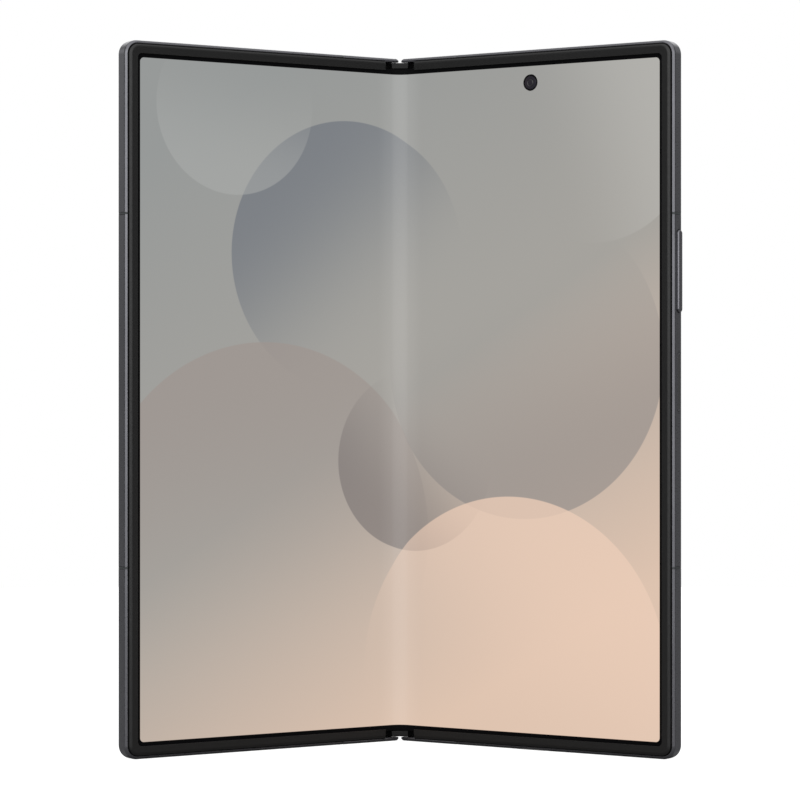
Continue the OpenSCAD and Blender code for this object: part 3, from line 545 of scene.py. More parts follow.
def anodised(slot, colour, low, high):
    """Blasted and anodised aluminium: fine even grain with a satin gleam."""
    grain = 0.09 * MM
    made = Finish(slot, metallic=1.0)
    made.mottle(colour, 0.05, 9 * MM)
    made.to("Roughness", made.spread(made.noise(grain * 4, 3), low, high))
    made.bump(made.noise(grain, 2), 0.0006 * MM, 0.25)


def brushed(slot, colour, low, high, stretch):
    """Rolled or brushed metal with lines along one direction."""
    made = Finish(slot, metallic=1.0)
    lines = made.noise(0.5 * MM, 3, made.coordinates(stretch))
    made.to("Base Color", made.blend(made.spread(lines, 0, 1), rgba([c * 0.86 for c in colour]),
                                     rgba(colour)))
    made.to("Roughness", made.spread(lines, low, high))
    made.bump(lines, 0.002 * MM, 0.5)


def moulded(slot, colour, low, high, grain=0.12 * MM, coat=0.0, specular=0.5):
    """Moulded plastic with a faint spark-eroded texture."""
    made = Finish(slot, coat=coat, coat_roughness=0.15, specular=specular)
    made.mottle(colour, 0.08, 4 * MM)
    made.to("Roughness", made.spread(made.noise(grain * 3, 2), low, high))
    made.bump(made.noise(grain, 3), 0.0015 * MM, 0.5)


def plated(slot, colour, low, high):
    """Turned or plated metal with fine marks and slight tarnish."""
    made = Finish(slot, metallic=1.0)
    made.mottle(colour, 0.1, 2.5 * MM)
    made.to("Roughness", made.spread(made.noise(0.3 * MM, 4), low, high))
    made.bump(made.noise(0.08 * MM, 2), 0.001 * MM, 0.4)


def frame_metal():
    anodised("frame_metal", settings("finish").metal, 0.26, 0.34)


def key_metal():
    # The keys take the frames' metal made 15% lighter: painted light, a lit copy of the same metal
    anodised("key_metal", [c * 1.15 for c in settings("finish").metal], 0.24, 0.32)


def spine_metal():
    anodised("spine_metal", [c * 0.85 for c in settings("finish").metal], 0.2, 0.27)


def ring_metal():
    """Turned rings: circular machining lines about each lens, and a bright edge."""
    made = Finish("ring_metal", metallic=1.0)
    lines = made.noise(0.05 * MM, 2, made.coordinates((1, 1, 0.25)))
    made.mottle((0.36, 0.36, 0.375), 0.06, 2 * MM)
    made.to("Roughness", made.spread(lines, 0.13, 0.22))
    made.bump(lines, 0.0008 * MM, 0.4)


def hinge_steel():
    brushed("hinge_steel", (0.42, 0.42, 0.43), 0.28, 0.42, (1, 1, 0.08))


def support_steel():
    brushed("support_steel", (0.5, 0.5, 0.5), 0.3, 0.45, (1, 1, 0.05))


def socket_steel():
    brushed("socket_steel", (0.5, 0.5, 0.5), 0.25, 0.38, (1, 1, 0.2))


def barrel_brass():
    plated("barrel_brass", (0.72, 0.55, 0.27), 0.22, 0.34)


def shim_bronze():
    plated("shim_bronze", (0.66, 0.42, 0.24), 0.25, 0.4)


def magnet_nickel():
    plated("magnet_nickel", (0.6, 0.59, 0.57), 0.12, 0.22)


def can_metal():
    plated("can_metal", (0.62, 0.62, 0.6), 0.25, 0.36)


def guard_plastic():
    moulded("guard_plastic", (0.006, 0.006, 0.0062), 0.38, 0.5, specular=0.22)


def matt_black():
    """Matt black: the inner camera's rim, and painted shade in the gap round each bezel and in the channels beside the
    spine's guards.
    """
    moulded("matt_black", (0.004, 0.004, 0.0042), 0.8, 0.9, specular=0.1)


def antenna_plastic():
    moulded("antenna_plastic", settings("finish").bands, 0.4, 0.52)


def bezel_plastic():
    moulded("bezel_plastic", settings("finish").bezel, 0.36, 0.46, 0.1 * MM)


def module_black():
    moulded("module_black", (0.018, 0.018, 0.019), 0.45, 0.6)


def sensor_black():
    moulded("sensor_black", (0.02, 0.02, 0.022), 0.16, 0.24, 0.3 * MM, 0.4)


def card_plastic():
    moulded("card_plastic", (0.82, 0.82, 0.8), 0.28, 0.36, 0.3 * MM, 0.2)


def cable_film():
    """Dark brown film with the tracks along the cable faintly showing through."""
    made = Finish("cable_film", coat=0.5, coat_roughness=0.2)
    tracks = made.node("TexWave", {
        "Vector": made.coordinates(), "Scale": 1 / (0.35 * MM) / 20 * math.pi, "Distortion": 0.0},
        bands_direction="Z").outputs["Fac"]
    made.to("Base Color", made.blend(made.spread(tracks, 0, 1, 0.45, 0.55),
                                     (0.035, 0.018, 0.009, 1), (0.07, 0.035, 0.015, 1)))
    made.to("Roughness", made.spread(made.noise(0.6 * MM), 0.3, 0.42))
    made.bump(tracks, 0.01 * MM, 0.5)


def battery_foil():
    """Foil pouch: dark laminate with shallow wrinkles."""
    made = Finish("battery_foil", metallic=0.55)
    made.mottle((0.075, 0.078, 0.083), 0.12, 6 * MM)
    made.to("Roughness", made.spread(made.noise(1.2 * MM, 3), 0.3, 0.44))
    made.bump(made.noise(5 * MM, 4), 0.06 * MM, 0.35)


def board_resin():
    """Green solder mask over tracks and rows of small pads."""
    made = Finish("board_resin", coat=0.35, coat_roughness=0.25)
    tracks = made.node("TexBrick", {
        "Vector": made.coordinates(side="right"), "Scale": 1 / (9 * MM), "Mortar Size": 0.03,
        "Color1": (0.012, 0.06, 0.03, 1), "Color2": (0.016, 0.075, 0.038, 1),
        "Mortar": (0.03, 0.13, 0.06, 1)})
    made.to("Base Color", tracks.outputs["Color"])
    made.to("Roughness", made.spread(made.noise(0.8 * MM), 0.32, 0.46))
    made.bump(tracks.outputs["Fac"], 0.03 * MM, 0.4)


def coil_copper():
    """Flat coil: turns of lacquered wire side by side about its centre."""
    low, high = flat_box("charging_coil", "right")
    made = Finish("coil_copper", metallic=0.9, coat=0.4, coat_roughness=0.15)
    centre = (low + high) / 2
    about = made.node("VectorMath", {0: made.coordinates(side="right"), 1: centre},
                      operation="SUBTRACT").outputs["Vector"]
    radius = made.node("VectorMath", {0: about}, operation="LENGTH").outputs["Value"]
    turns = made.math("ABSOLUTE", made.math("SINE", made.math("MULTIPLY", radius,
                                                              math.pi / (0.7 * MM))))
    made.to("Base Color", made.blend(turns, (0.2, 0.08, 0.035, 1), (0.78, 0.4, 0.2, 1)))
    made.to("Roughness", made.spread(turns, 0.45, 0.25, 0, 1))
    made.bump(turns, 0.1 * MM, 0.7)


def flash_clear():
    """Fluted flash lens over a pale yellow phosphor."""
    made = Finish("flash_clear", coat=1.0, coat_roughness=0.05)
    made.mottle((0.86, 0.8, 0.56), 0.06, 1.2 * MM)
    made.to("Roughness", made.spread(made.noise(0.2 * MM), 0.1, 0.2))
    made.bump(made.noise(0.25 * MM, 1), 0.02 * MM, 0.5)


def lens_glass():
    """Coated lens glass: near black, with a cool and warm cast that drifts over it."""
    made = Finish("lens_glass", coat=1.0, coat_roughness=0.02)
    cast = made.spread(made.noise(6 * MM, 1), 0, 1)
    made.to("Base Color", made.blend(cast, (0.004, 0.006, 0.014, 1), (0.012, 0.006, 0.014, 1)))
    made.to("Roughness", made.spread(made.noise(0.5 * MM), 0.03, 0.07))


def back_glass_satin():
    """Etched glass over a dark coloured film, with a faint sparkle."""
    made = Finish("back_glass_satin", metallic=0.35, coat=0.25, coat_roughness=0.3)
    colour = settings("finish").back
    sparkle = made.spread(made.noise(0.05 * MM, 1), 0, 1, 0.62, 0.8)
    made.to("Base Color", made.blend(sparkle, rgba(colour), rgba([c * 1.5 for c in colour])))
    made.to("Roughness", made.spread(made.noise(0.4 * MM, 3), 0.34, 0.42))
    made.bump(made.noise(0.07 * MM, 2), 0.0012 * MM, 0.5)


def inside_round_rect(made, across, up, half_w, half_h, radius, soft):
    """Factor that is 1 inside a rectangle with round corners about the origin."""
    out_x = made.math("MAXIMUM", made.math("SUBTRACT", made.math("ABSOLUTE", across),
                                           half_w - radius), 0.0)
    out_y = made.math("MAXIMUM", made.math("SUBTRACT", made.math("ABSOLUTE", up),
                                           half_h - radius), 0.0)
    return made.spread(made.distance(out_x, out_y), 1, 0, radius - soft / 2, radius + soft / 2)


def outside_disc(made, across, up, x, y, radius, soft):
    """Factor that is 0 inside a disc."""
    return made.spread(made.distance(across, up, x, y), 0, 1, radius - soft / 2,
                       radius + soft / 2)


def cover_glass_dark():
    """Polished black glass, with the sleeping cover screen just paler than its border, and the cover camera drawn in
    dark rings round a painted bluish glint.
    """
    low, high = flat_box("cover_display", "left")
    made = Finish("cover_glass_dark", coat=1.0, coat_roughness=0.02)
    place = made.node("SeparateXYZ", {0: made.coordinates(side="left")})
    across = made.math("SUBTRACT", place.outputs["X"], (low.x + high.x) / 2)
    up = made.math("SUBTRACT", place.outputs["Z"], LEAF.z / 2)
    side_border, end_border, corner = 1.2 * MM, 3.4 * MM, 2.6 * MM
    lit = inside_round_rect(made, across, up, (high.x - low.x) / 2 - side_border,
                            LEAF.z / 2 - end_border, corner, 0.06 * MM)
    hole = outside_disc(made, place.outputs["X"], place.outputs["Z"], COVER_EYE.x, COVER_EYE.z,
                        COVER_HOLE, 0.05 * MM)
    shade = made.blend(made.math("MULTIPLY", lit, hole), (0.002, 0.002, 0.0022, 1),
                       (0.009, 0.0095, 0.011, 1))
    reach = made.distance(place.outputs["X"], place.outputs["Z"], COVER_EYE.x, COVER_EYE.z)
    rings = made.node("ValToRGB", {"Fac": made.spread(reach, 0, 1, 0, 2 * MM)})
    rings.color_ramp.interpolation = "CONSTANT"
    stops = rings.color_ramp.elements
    # The camera's middle is bluish: a painted glint on its lens, inside dark and lighter rings
    stops[0].color, stops[1].color = (0.012, 0.014, 0.035, 1), (0.0, 0.0, 0.0, 1)
    stops[1].position = 0.72
    stops.new(0.28).color = (0.002, 0.002, 0.003, 1)
    stops.new(0.6).color = (0.05, 0.05, 0.055, 1)
    made.to("Base Color", made.blend(hole, rings.outputs["Color"], shade))
    made.to("Roughness", made.spread(made.noise(14 * MM, 2), 0.04, 0.07))


def clear_glass():
    """Clear coated cover glass over the rear lenses, seen by its reflections alone."""
    made = Finish("clear_glass", metallic=1.0, alpha=0.035)
    made.mottle((0.93, 0.95, 1.0), 0.03, 3 * MM)
    made.to("Roughness", made.spread(made.noise(2 * MM), 0.01, 0.03))


def contact_gold():
    """Gold plating with faint wear along the contacts."""
    made = Finish("contact_gold", metallic=1.0)
    made.mottle((0.86, 0.6, 0.25), 0.06, 0.5 * MM)
    made.to("Roughness", made.spread(made.noise(0.1 * MM), 0.15, 0.28))


def mesh_weave():
    """Black woven mesh with fine dark openings."""
    made = Finish("mesh_weave", metallic=0.6)
    place = made.node("SeparateXYZ", {0: made.coordinates(side="right")})
    threads = [made.math("ABSOLUTE", made.math("SINE", made.math(
        "MULTIPLY", place.outputs[axis], math.pi / (0.14 * MM)))) for axis in ("X", "Z")]
    cloth = made.math("MAXIMUM", *threads)
    made.to("Base Color", made.blend(made.spread(cloth, 0, 1, 0.5, 0.8), (0.002, 0.002, 0.002, 1),
                                     (0.07, 0.07, 0.075, 1)))
    made.to("Roughness", made.spread(cloth, 0.8, 0.4, 0, 1))
    made.bump(cloth, 0.03 * MM, 0.6)


# Soft discs of the picture: centre, radius and direction of the fade in millimetres and degrees
# from the screen's middle, then colour and strength
DISCS = (
    (-14, 33, 31, 130, (0.165, 0.18, 0.205), 0.82),
    (33, 9, 36, -70, (0.235, 0.225, 0.222), 0.62),
    (52, 60, 25, 20, (0.52, 0.51, 0.48), 0.5),
    (-36, -31, 44, 100, (0.33, 0.285, 0.262), 0.7),
    (4, -14, 21, -130, (0.215, 0.19, 0.182), 0.8),
    (30, -62, 40, 60, (0.82, 0.6, 0.47), 0.75),
    (-44, 66, 20, -100, (0.41, 0.42, 0.41), 0.45),
)


def inner_screen():
    """Lit picture of soft discs over a grey to peach gradient, inside a black border."""
    values = settings("picture")
    made = Finish("inner_screen", emission=1.0, base=(0.003, 0.003, 0.0035, 1))
    flat = made.node("UVMap", uv_map="picture").outputs["UV"]
    size = 1 / (PICTURE_SCALE * MM)
    place = made.node("SeparateXYZ", {0: made.node("Mapping", {
        "Vector": flat, "Scale": (size, size, 1),
        "Location": (-size / 2, -LEAF.z / 2 / MM, 0)}).outputs["Vector"]})
    across, up = place.outputs["X"], place.outputs["Y"]
    slope = made.math("ADD", made.math("MULTIPLY", across, 0.0032),
                      made.math("MULTIPLY", up, -0.0053))
    ramp = made.node("ValToRGB", {"Fac": made.math("ADD", slope, 0.5)})
    stops = ramp.color_ramp.elements
    stops[0].color, stops[1].color = rgba(values.cool), rgba(values.warm)
    stops[1].position = 0.93
    stops.new(0.5).color = rgba(values.middle)
    picture = ramp.outputs["Color"]
    for x, y, radius, heading, colour, strength in DISCS:
        inside = made.spread(made.distance(across, up, x, y), strength, 0, radius - 0.1,
                             radius + 0.1)
        run, climb = math.cos(math.radians(heading)), math.sin(math.radians(heading))
        along = made.math("ADD", made.math("MULTIPLY", made.math("SUBTRACT", across, x), run),
                          made.math("MULTIPLY", made.math("SUBTRACT", up, y), climb))
        fade = made.node("MapRange", {"Value": along, "From Min": -radius * 0.75,
                                      "From Max": radius}, interpolation_type="SMOOTHERSTEP")
        share = made.math("MULTIPLY", inside, fade.outputs["Result"])
        picture = made.blend(share, picture, rgba(colour))
    lit = inside_round_rect(
        made, across, up, (LEAF.x - values.side_border) / MM,
        (LEAF.z / 2 - values.end_border) / MM, values.corner / MM, 0.05)
    hole = outside_disc(made, across, up, INNER_EYE.x / MM, (INNER_EYE.z - LEAF.z / 2) / MM,
                        SCREEN_HOLE / MM, 0.05)
    shown = made.math("MULTIPLY", lit, hole)
    crease = made.node("MapRange", {
        "Value": made.math("ABSOLUTE", across), "From Max": CREASE_REACH / MM, "To Min": 1.0,
        "To Max": 0.0}, interpolation_type="SMOOTHSTEP").outputs["Result"]
    gleam = made.spread(crease, 0.36, 0.95, 0, 1)
    made.to("Specular IOR Level", made.spread(shown, 0.04, gleam, 0, 1))
    made.to("Roughness", made.spread(crease, 0.34, 0.58, 0, 1))
    made.bump(crease, CREASE_DEPTH)
    made.to("Emission Color", made.blend(shown, (0, 0, 0, 1), picture))


def material(slot):
    """The material of a slot, made the first time that it is asked for."""
    if slot + "_look" not in bpy.data.materials:
        globals()[slot]()
    return bpy.data.materials[slot + "_look"]


# Pieces


TOLERANCE = 0.012 * MM
CORNER = 3.1 * MM

# How much a normal points to the back on the back faces of the screen, on the inner faces of
# the spine cover, and on the flat end of a disc
BACKWARD = 0.5
FORWARD = -0.2
SQUARE_ON = 0.9

# The guards on the spine's caps reach this far from the middle; beyond it the caps are painted black, painted shade in
# the channels there
GUARD_X = 1.9 * MM

# A frame's chamfers meet its outline between these depths behind its front, and less than this
# before its back; its rail's flat middle ends this far before its back, and its front and back
# faces end less than a lip inside the outline
FRONT_CHAMFER = (0.2 * MM, 0.9 * MM)
BACK_CHAMFER = 0.5 * MM
RAIL_END = 0.6 * MM
LIP = 0.95 * MM

# A bezel's slope starts less than this inside the outline and ends between these depths, and the
# faces of the gap round it, deeper than this and this near to its foot, are painted black as shade
BEZEL_SLOPE = 2 * MM
BEZEL_FOOT = (0.1 * MM, 0.6 * MM)
GAP_DEPTH = 0.3 * MM
GAP_W = 0.25 * MM

FOLD_STEPS = 20

# The cables over the hinge bend from the middle to here, and have this many cuts on each side, a
# millimetre apart
CABLE_BEND = 5 * MM
CABLE_CUTS = 6


def outline_inset(spot):
    """How far inside a leaf's outline a spot of the flat leaf lies."""
    from_side = LEAF.x - spot.x
    from_end = min(spot.z, LEAF.z - spot.z)
    if from_side < CORNER and from_end < CORNER:
        return CORNER - math.hypot(CORNER - from_side, CORNER - from_end)
    return min(from_side, from_end)


def bevel_edges(piece, width, segments, least, test):
    """Rounds the sharp edges whose ends pass a test."""
    select_edges(piece, least, test)
    bpy.ops.mesh.bevel(offset=width, segments=segments, profile=0.5, clamp_overlap=False)
    close_edit()


def on_leaf(side, test):
    """Turns a test of flat spots into one of spots in place."""
    return lambda spot: test(FLAT[side] @ spot)


def disc(name, spot, radius, thick, steps=(), back=True, vertices=72):
    """Round piece on a flat leaf, its outer face stepped inward by pairs of width and depth."""
    sign = 1 if back else -1
    piece = add_mesh("cylinder", name, vertices=vertices, radius=radius, depth=thick,
                     rotation=(-sign * math.pi / 2, 0, 0),
                     location=(spot[0], spot[1] - sign * thick / 2, spot[2]))
    apply_place()
    if steps:
        select_faces(piece, lambda centre, normal: normal.y * sign > SQUARE_ON)
        for inward, deeper in steps:
            bpy.ops.mesh.inset(thickness=inward * MM, depth=-deeper * MM)
        close_edit()
    return piece


def paint(piece, *rules):
    """Gives faces a second look where a test of their centre and normal passes."""
    for look, test in rules:
        piece.data.materials.append(material(look))
        for face in piece.data.polygons:
            if test(face.center, face.normal):
                face.material_index = len(piece.data.materials) - 1


def near(spot):
    """Distance in the leaf's plane from a spot."""
    return lambda centre: math.hypot(centre.x - spot[0], centre.z - spot[2])


def islands(node, side):
    """Flat boxes of a node's separate solids, from the lowest up."""
    mesh = frame["nodes"][node].data
    parent = list(range(len(mesh.vertices)))

    def root(i):
        while parent[i] != i:
            parent[i] = parent[parent[i]]
            i = parent[i]
        return i

    for edge in mesh.edges:
        parent[root(edge.vertices[0])] = root(edge.vertices[1])
    groups = {}
    for i, v in enumerate(mesh.vertices):
        groups.setdefault(root(i), []).append(FLAT[side] @ v.co)
    boxes = [(Vector(map(min, zip(*spots))), Vector(map(max, zip(*spots))))
             for spots in groups.values()]
    merged = []
    for low, high in sorted(boxes, key=lambda box: box[0].z):
        if merged and low.z < merged[-1][1].z - MERGE and low.x < merged[-1][1].x:
            first, last = merged[-1]
            merged[-1] = (Vector(map(min, first, low)), Vector(map(max, last, high)))
        else:
            merged.append((low, high))
    return merged


class PHONE_OT_frames(bpy.types.Operator):
    """Rounds the edges of both side frames and their antenna bands"""

    bl_idname = "phone.frames"
    bl_label = "Side frames"

    def execute(self, context):
        for side in SIDES:
            for kind in ("frame", "antenna_bands"):
                self.finish(f"{side}_{kind}", side)
        return {"FINISHED"}

    def finish(self, node, side):
        values = settings("finish")
        piece = copy_node(node, node + "_finished", pierced=True)
        front = min((FLAT[side] @ v.co).y for v in piece.data.vertices)
        back = LEAF.y

        def shoulder(spot):
            return outline_inset(spot) < TOLERANCE and (
                FRONT_CHAMFER[0] < spot.y - front < FRONT_CHAMFER[1]
                or back - spot.y < BACK_CHAMFER)

        def lip(spot):
            return outline_inset(spot) < LIP and (
                spot.y < front + TOLERANCE or spot.y > back - TOLERANCE)

        def crossing(spot):
            """On the rail's flat middle, where slots and holes end."""
            return (outline_inset(spot) < TOLERANCE and spot.y - front > FRONT_CHAMFER[1]
                    and back - spot.y > RAIL_END)

        bevel_edges(piece, values.shoulder, 4, 25, on_leaf(side, shoulder))
        bevel_edges(piece, values.edge, 2, 25, on_leaf(side, lip))
        if node.endswith("frame"):
            bevel_edges(piece, values.edge * 2, 2, 60, on_leaf(side, crossing))
        stand_for(piece, node)


class PHONE_OT_bezels(bpy.types.Operator):
    """Rounds the raised rims round the inner screen, and paints the gap at their foot black as painted shade"""

    bl_idname = "phone.bezels"
    bl_label = "Bezels"

    def execute(self, context):
        values = settings("finish")
        for side in SIDES:
            node = f"{side}_bezel"
            piece = copy_node(node, node + "_finished")
            low = flat_box(node, side)[0]
            foot = min(outline_inset(FLAT[side] @ v.co) for v in piece.data.vertices)

            def top(spot):
                return spot.y < TOLERANCE and outline_inset(spot) < BEZEL_SLOPE

            def bottom(spot):
                return (BEZEL_FOOT[0] < spot.y < BEZEL_FOOT[1]
                        and outline_inset(spot) < foot + TOLERANCE)

            def inner(spot):
                return spot.y < TOLERANCE and (
                    outline_inset(spot) > BEZEL_SLOPE or spot.x < low.x + TOLERANCE)

            bevel_edges(piece, values.rim, 5, 20, on_leaf(side, top))
            bevel_edges(piece, values.rim, 5, 20, on_leaf(side, bottom))
            bevel_edges(piece, values.edge * 1.5, 3, 40, on_leaf(side, inner))
            stand_for(piece, node)

            def gap(spot):
                return spot.y > GAP_DEPTH and outline_inset(spot) < foot + GAP_W

            # The faces in the gap between the bezel and the frame are painted black: painted shade in the gap
            paint(piece, ("matt_black", lambda centre, normal: gap(FLAT[side] @ centre)))
        return {"FINISHED"}


def map_picture(piece, place):
    """Lays the picture's map on a piece, place giving the distance along the screen."""
    layer = piece.data.uv_layers.new(name="picture")
    piece.data.uv_layers.active = layer
    spots = [v.co for v in piece.data.vertices]
    for loop in piece.data.loops:
        spot = spots[loop.vertex_index]
        layer.data[loop.index].uv = (0.5 + place(spot) * PICTURE_SCALE, spot.z * PICTURE_SCALE)


class PHONE_OT_inner_screen(bpy.types.Operator):
    """Makes the two flat halves of the inner screen and the fold that bends between them"""

    bl_idname = "phone.inner_screen"
    bl_label = "Inner screen"

    def execute(self, context):
        for side in SIDES:
            node = f"{side}_display"
            piece = copy_node(node, node + "_finished")
            sign = -1 if side == "left" else 1
            smooth(piece, weigh=False)
            map_picture(piece, lambda spot: sign * (FLAT[side] @ spot).x)
            dress(piece, SLOTS[node], BODIES[node], node)
            self.darken_back(piece)
            self.fold_half(side, sign)
        return {"FINISHED"}

    def darken_back(self, piece):
        """Only the front of the screen is lit."""
        paint(piece, ("module_black", lambda centre, normal: normal.y > BACKWARD))

    def fold_half(self, side, sign):
        """Half of the fold: a strip turned about the fold's own centre."""
        low, high = SCREEN
        lean = low.y - AXIS_DEPTH
        end_x = AXIS_X + (low.x - AXIS_X) * math.cos(TURN) + lean * math.sin(TURN)
        end_y = AXIS_Y - (low.x - AXIS_X) * math.sin(TURN) + lean * math.cos(TURN)
        radius = end_x / math.sin(TURN)
        centre_y = end_y - radius * math.cos(TURN)
        thick = high.y - low.y
        piece = add_mesh("plane", f"{side}_fold", size=1, rotation=(0, math.pi / 2, 0),
                         location=(0, centre_y + radius + thick / 2, LEAF.z / 2))
        piece.scale = (high.z - low.z, thick, 1)
        apply_place()
        edit(piece)
        bpy.ops.mesh.spin(steps=FOLD_STEPS, angle=sign * TURN, center=(0, centre_y, LEAF.z / 2),
                          axis=(0, 0, 1))
        bpy.ops.mesh.select_all(action="SELECT")
        bpy.ops.mesh.remove_doubles(threshold=MERGE)
        bpy.ops.mesh.normals_make_consistent(inside=False)
        close_edit()
        smooth(piece, weigh=False)
        map_picture(piece, lambda spot: spot.x / end_x * low.x)
        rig.blend(piece, "spine", f"{side}_leaf", start=(0, centre_y, 0),
                 end=(sign * end_x, centre_y, 0))
        dress(piece, SLOTS["display_fold"], "spine", "display_fold")
        self.darken_back(piece)


class PHONE_OT_hinge(bpy.types.Operator):
    """Finishes the spine cover, its caps and the works between the leaves"""

    bl_idname = "phone.hinge"
    bl_label = "Hinge"

    def execute(self, context):
        cover = copy_node("spine_cover", "spine_cover_finished")
        round_all(cover, 0.08 * MM, 2, 50)
        stand_for(cover, "spine_cover")
        paint(cover, ("guard_plastic", lambda centre, normal: normal.y < FORWARD))
        caps = soft_copy("spine_caps", 0.1 * MM)
        # Beyond the guards the caps are painted black: painted shade in the channels beside them
        paint(caps, ("matt_black", lambda centre, normal: abs(centre.x) > GUARD_X))
        for node in ("hinge_housings", "sync_slider"):
            soft_copy(node, 0.05 * MM, pierced=node == "sync_slider")
        for side in SIDES:
            for kind in ("hinge_arms", "sync_barrel"):
                soft_copy(f"{side}_{kind}", 0.06 * MM)
            self.cable_half(side)
        return {"FINISHED"}

    def cable_half(self, side):
        """Half of the flat cables over the hinge, cut across so that it can bend."""
        node = "hinge_flex_cables"
        sign = -1 if side == "left" else 1
        piece = copy_node(node, f"{side}_{node}")
        edit(piece)
        bpy.ops.mesh.bisect(plane_co=(0, 0, 0), plane_no=(sign, 0, 0), clear_inner=True,
                            use_fill=True)
        for cut in range(1, CABLE_CUTS + 1):
            bpy.ops.mesh.select_all(action="SELECT")
            bpy.ops.mesh.bisect(plane_co=(sign * cut * MM, 0, 0), plane_no=(1, 0, 0))
        close_edit()
        outward(piece)
        smooth(piece, weigh=False)
        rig.blend(piece, "spine", f"{side}_leaf", start=(0, AXIS_Y, 0),
                 end=(sign * CABLE_BEND, AXIS_Y, 0))
        dress(piece, SLOTS[node], "spine", node)


class PHONE_OT_inner_camera(bpy.types.Operator):
    """Makes the camera behind the hole in the inner screen: a dark rim round its lens"""

    bl_idname = "phone.inner_camera"
    bl_label = "Inner camera"

    def execute(self, context):
        front = INNER_CAMERA[0].y
        spot = (INNER_EYE.x, front, INNER_EYE.z)
        away = near(spot)
        recess, rim_r, ring_r = 0.4 * MM, 1.5 * MM, (0.6 * MM, 0.8 * MM)
        body = copy_node("inner_camera", "inner_camera_body")
        select_faces(body, lambda centre, normal: abs(
            (FLAT["right"] @ centre).y - front) < TOLERANCE)
        bpy.ops.transform.translate(value=PLACE["right"].to_3x3() @ Vector((0, recess, 0)))
        close_edit()
        stand_for(body, "inner_camera")
        body.data.materials[0] = material("module_black")
        steps = ((0.3, 0), (0.04, 0.05), (0.05, 0), (0.04, -0.06), (0.12, -0.02), (0.45, -0.012),
                 (0.04, 0.05), (0.08, 0.03), (0.04, -0.04), (0.1, -0.03), (0.15, -0.02),
                 (0.15, -0.01))
        lens = disc("inner_camera_lens", spot, SCREEN_HOLE - HOLE_SEAM, recess, steps,
                    back=False)
        dress(lens, SLOTS["inner_camera"], BODIES["inner_camera"])
        paint(lens, ("matt_black", lambda centre, normal: away(centre) > rim_r),
              ("module_black", lambda centre, normal: ring_r[0] < away(centre) < ring_r[1]))
        smooth(lens)
        settle(lens, "right")
        return {"FINISHED"}


class PHONE_OT_back_faces(bpy.types.Operator):
    """Rounds the rims of the back glass and of the cover glass, with a mesh in its slit"""

    bl_idname = "phone.back_faces"
    bl_label = "Back and cover glass"

    def execute(self, context):
        for node, side in (("back_glass", "right"), ("cover_glass", "left")):
            piece = copy_node(node, node + "_finished")
            bevel_edges(piece, 0.22 * MM, 5, 60, on_leaf(side, lambda spot: (
                spot.y > LEAF.y - TOLERANCE and outline_inset(spot) < 1.5 * MM)))
            stand_for(piece, node)
        low, high = flat_box("earpiece", "left")
        glass = flat_box("cover_glass", "left")[0]
        slit_from_end, mesh_depth = 3 * MM, 0.15 * MM
        weave = add_mesh("cube", "earpiece_mesh", size=1)
        weave.location = ((low.x + high.x) / 2, glass.y + mesh_depth, LEAF.z - slit_from_end)
        weave.scale = (11.9 * MM, 0.1 * MM, 0.49 * MM)
        settle(weave, "left")
        dress(weave, "module_black", "left_leaf")
        paint(weave, ("mesh_weave", lambda centre, normal: True))
        return {"FINISHED"}


class PHONE_OT_camera_island(bpy.types.Operator):
    """Rounds the camera island and its rings, and builds a stepped lens behind each glass"""

    bl_idname = "phone.camera_island"
    bl_label = "Camera island"

    def execute(self, context):
        low, high = flat_box("camera_island", "right")
        middle = (low + high) / 2
        half = (high.x - low.x) / 2
        run = (high.z - low.z) / 2 - half

        def rim(spot):
            spare = max(0, abs(spot.z - middle.z) - run)
            return spot.y > high.y - TOLERANCE and math.hypot(
                spot.x - middle.x, spare) > half - 0.1 * MM

        island = copy_node("camera_island", "camera_island_finished")
        bevel_edges(island, 0.4 * MM, 6, 60, on_leaf("right", rim))
        stand_for(island, "camera_island")
        soft_copy("lens_rings", 0.1 * MM, 3)
        for index, (first, last) in enumerate(islands("lens_glasses", "right")):
            spot = ((first.x + last.x) / 2, last.y, (first.z + last.z) / 2)
            self.lens(index, spot, (last.x - first.x) / 2, last.y - first.y)
        self.flash()
        return {"FINISHED"}

    def lens(self, index, spot, radius, thick):
        """A black barrel in steps round a domed lens, under a clear glass."""
        cover_t, air = 0.05 * MM, 0.005 * MM
        glass_r, ring_r = 2.33 * MM, (3.76 * MM, 3.86 * MM)
        top = (spot[0], spot[1] - cover_t - air, spot[2])
        steps = ((1.25, 0), (0.08, 0.05), (0.25, 0), (0.06, 0.04), (0.3, 0.01), (0.06, 0.04),
                 (0.35, 0.01), (0.06, 0.04), (0.3, 0), (0.05, -0.06), (0.12, -0.03),
                 (0.3, -0.03), (0.5, -0.025), (0.6, -0.012))
        barrel = disc(f"lens_barrel_{index + 1}", top, radius, thick - cover_t - 2 * air, steps,
                      vertices=96)
        away = near(spot)
        dress(barrel, "module_black", "right_leaf", "lens_glasses")
        paint(barrel, ("lens_glass", lambda centre, normal: away(centre) < glass_r),
              ("ring_metal", lambda centre, normal: ring_r[0] < away(centre) < ring_r[1]))
        smooth(barrel, 25)
        settle(barrel, "right")
        cover = disc(f"lens_cover_{index + 1}", spot, radius - 2 * air, cover_t)
        smooth(cover)
        dress(cover, "lens_glass", "right_leaf")
        cover.data.materials[0] = material("clear_glass")
        settle(cover, "right")

    def flash(self):
        """Ribbed lens of the flash: rings in fine steps."""
        low, high = flat_box("flash_lens", "right")
        spot = ((low.x + high.x) / 2, high.y, (low.z + high.z) / 2)
        steps = [(0.12, 0), (0.02, 0.05)] + [(0.1, -0.025), (0.015, 0.03)] * 7
        piece = disc("flash_finished", spot, (high.x - low.x) / 2, high.y - low.y, steps)
        smooth(piece, 20)
        dress(piece, SLOTS["flash_lens"], "right_leaf", "flash_lens")
        settle(piece, "right")


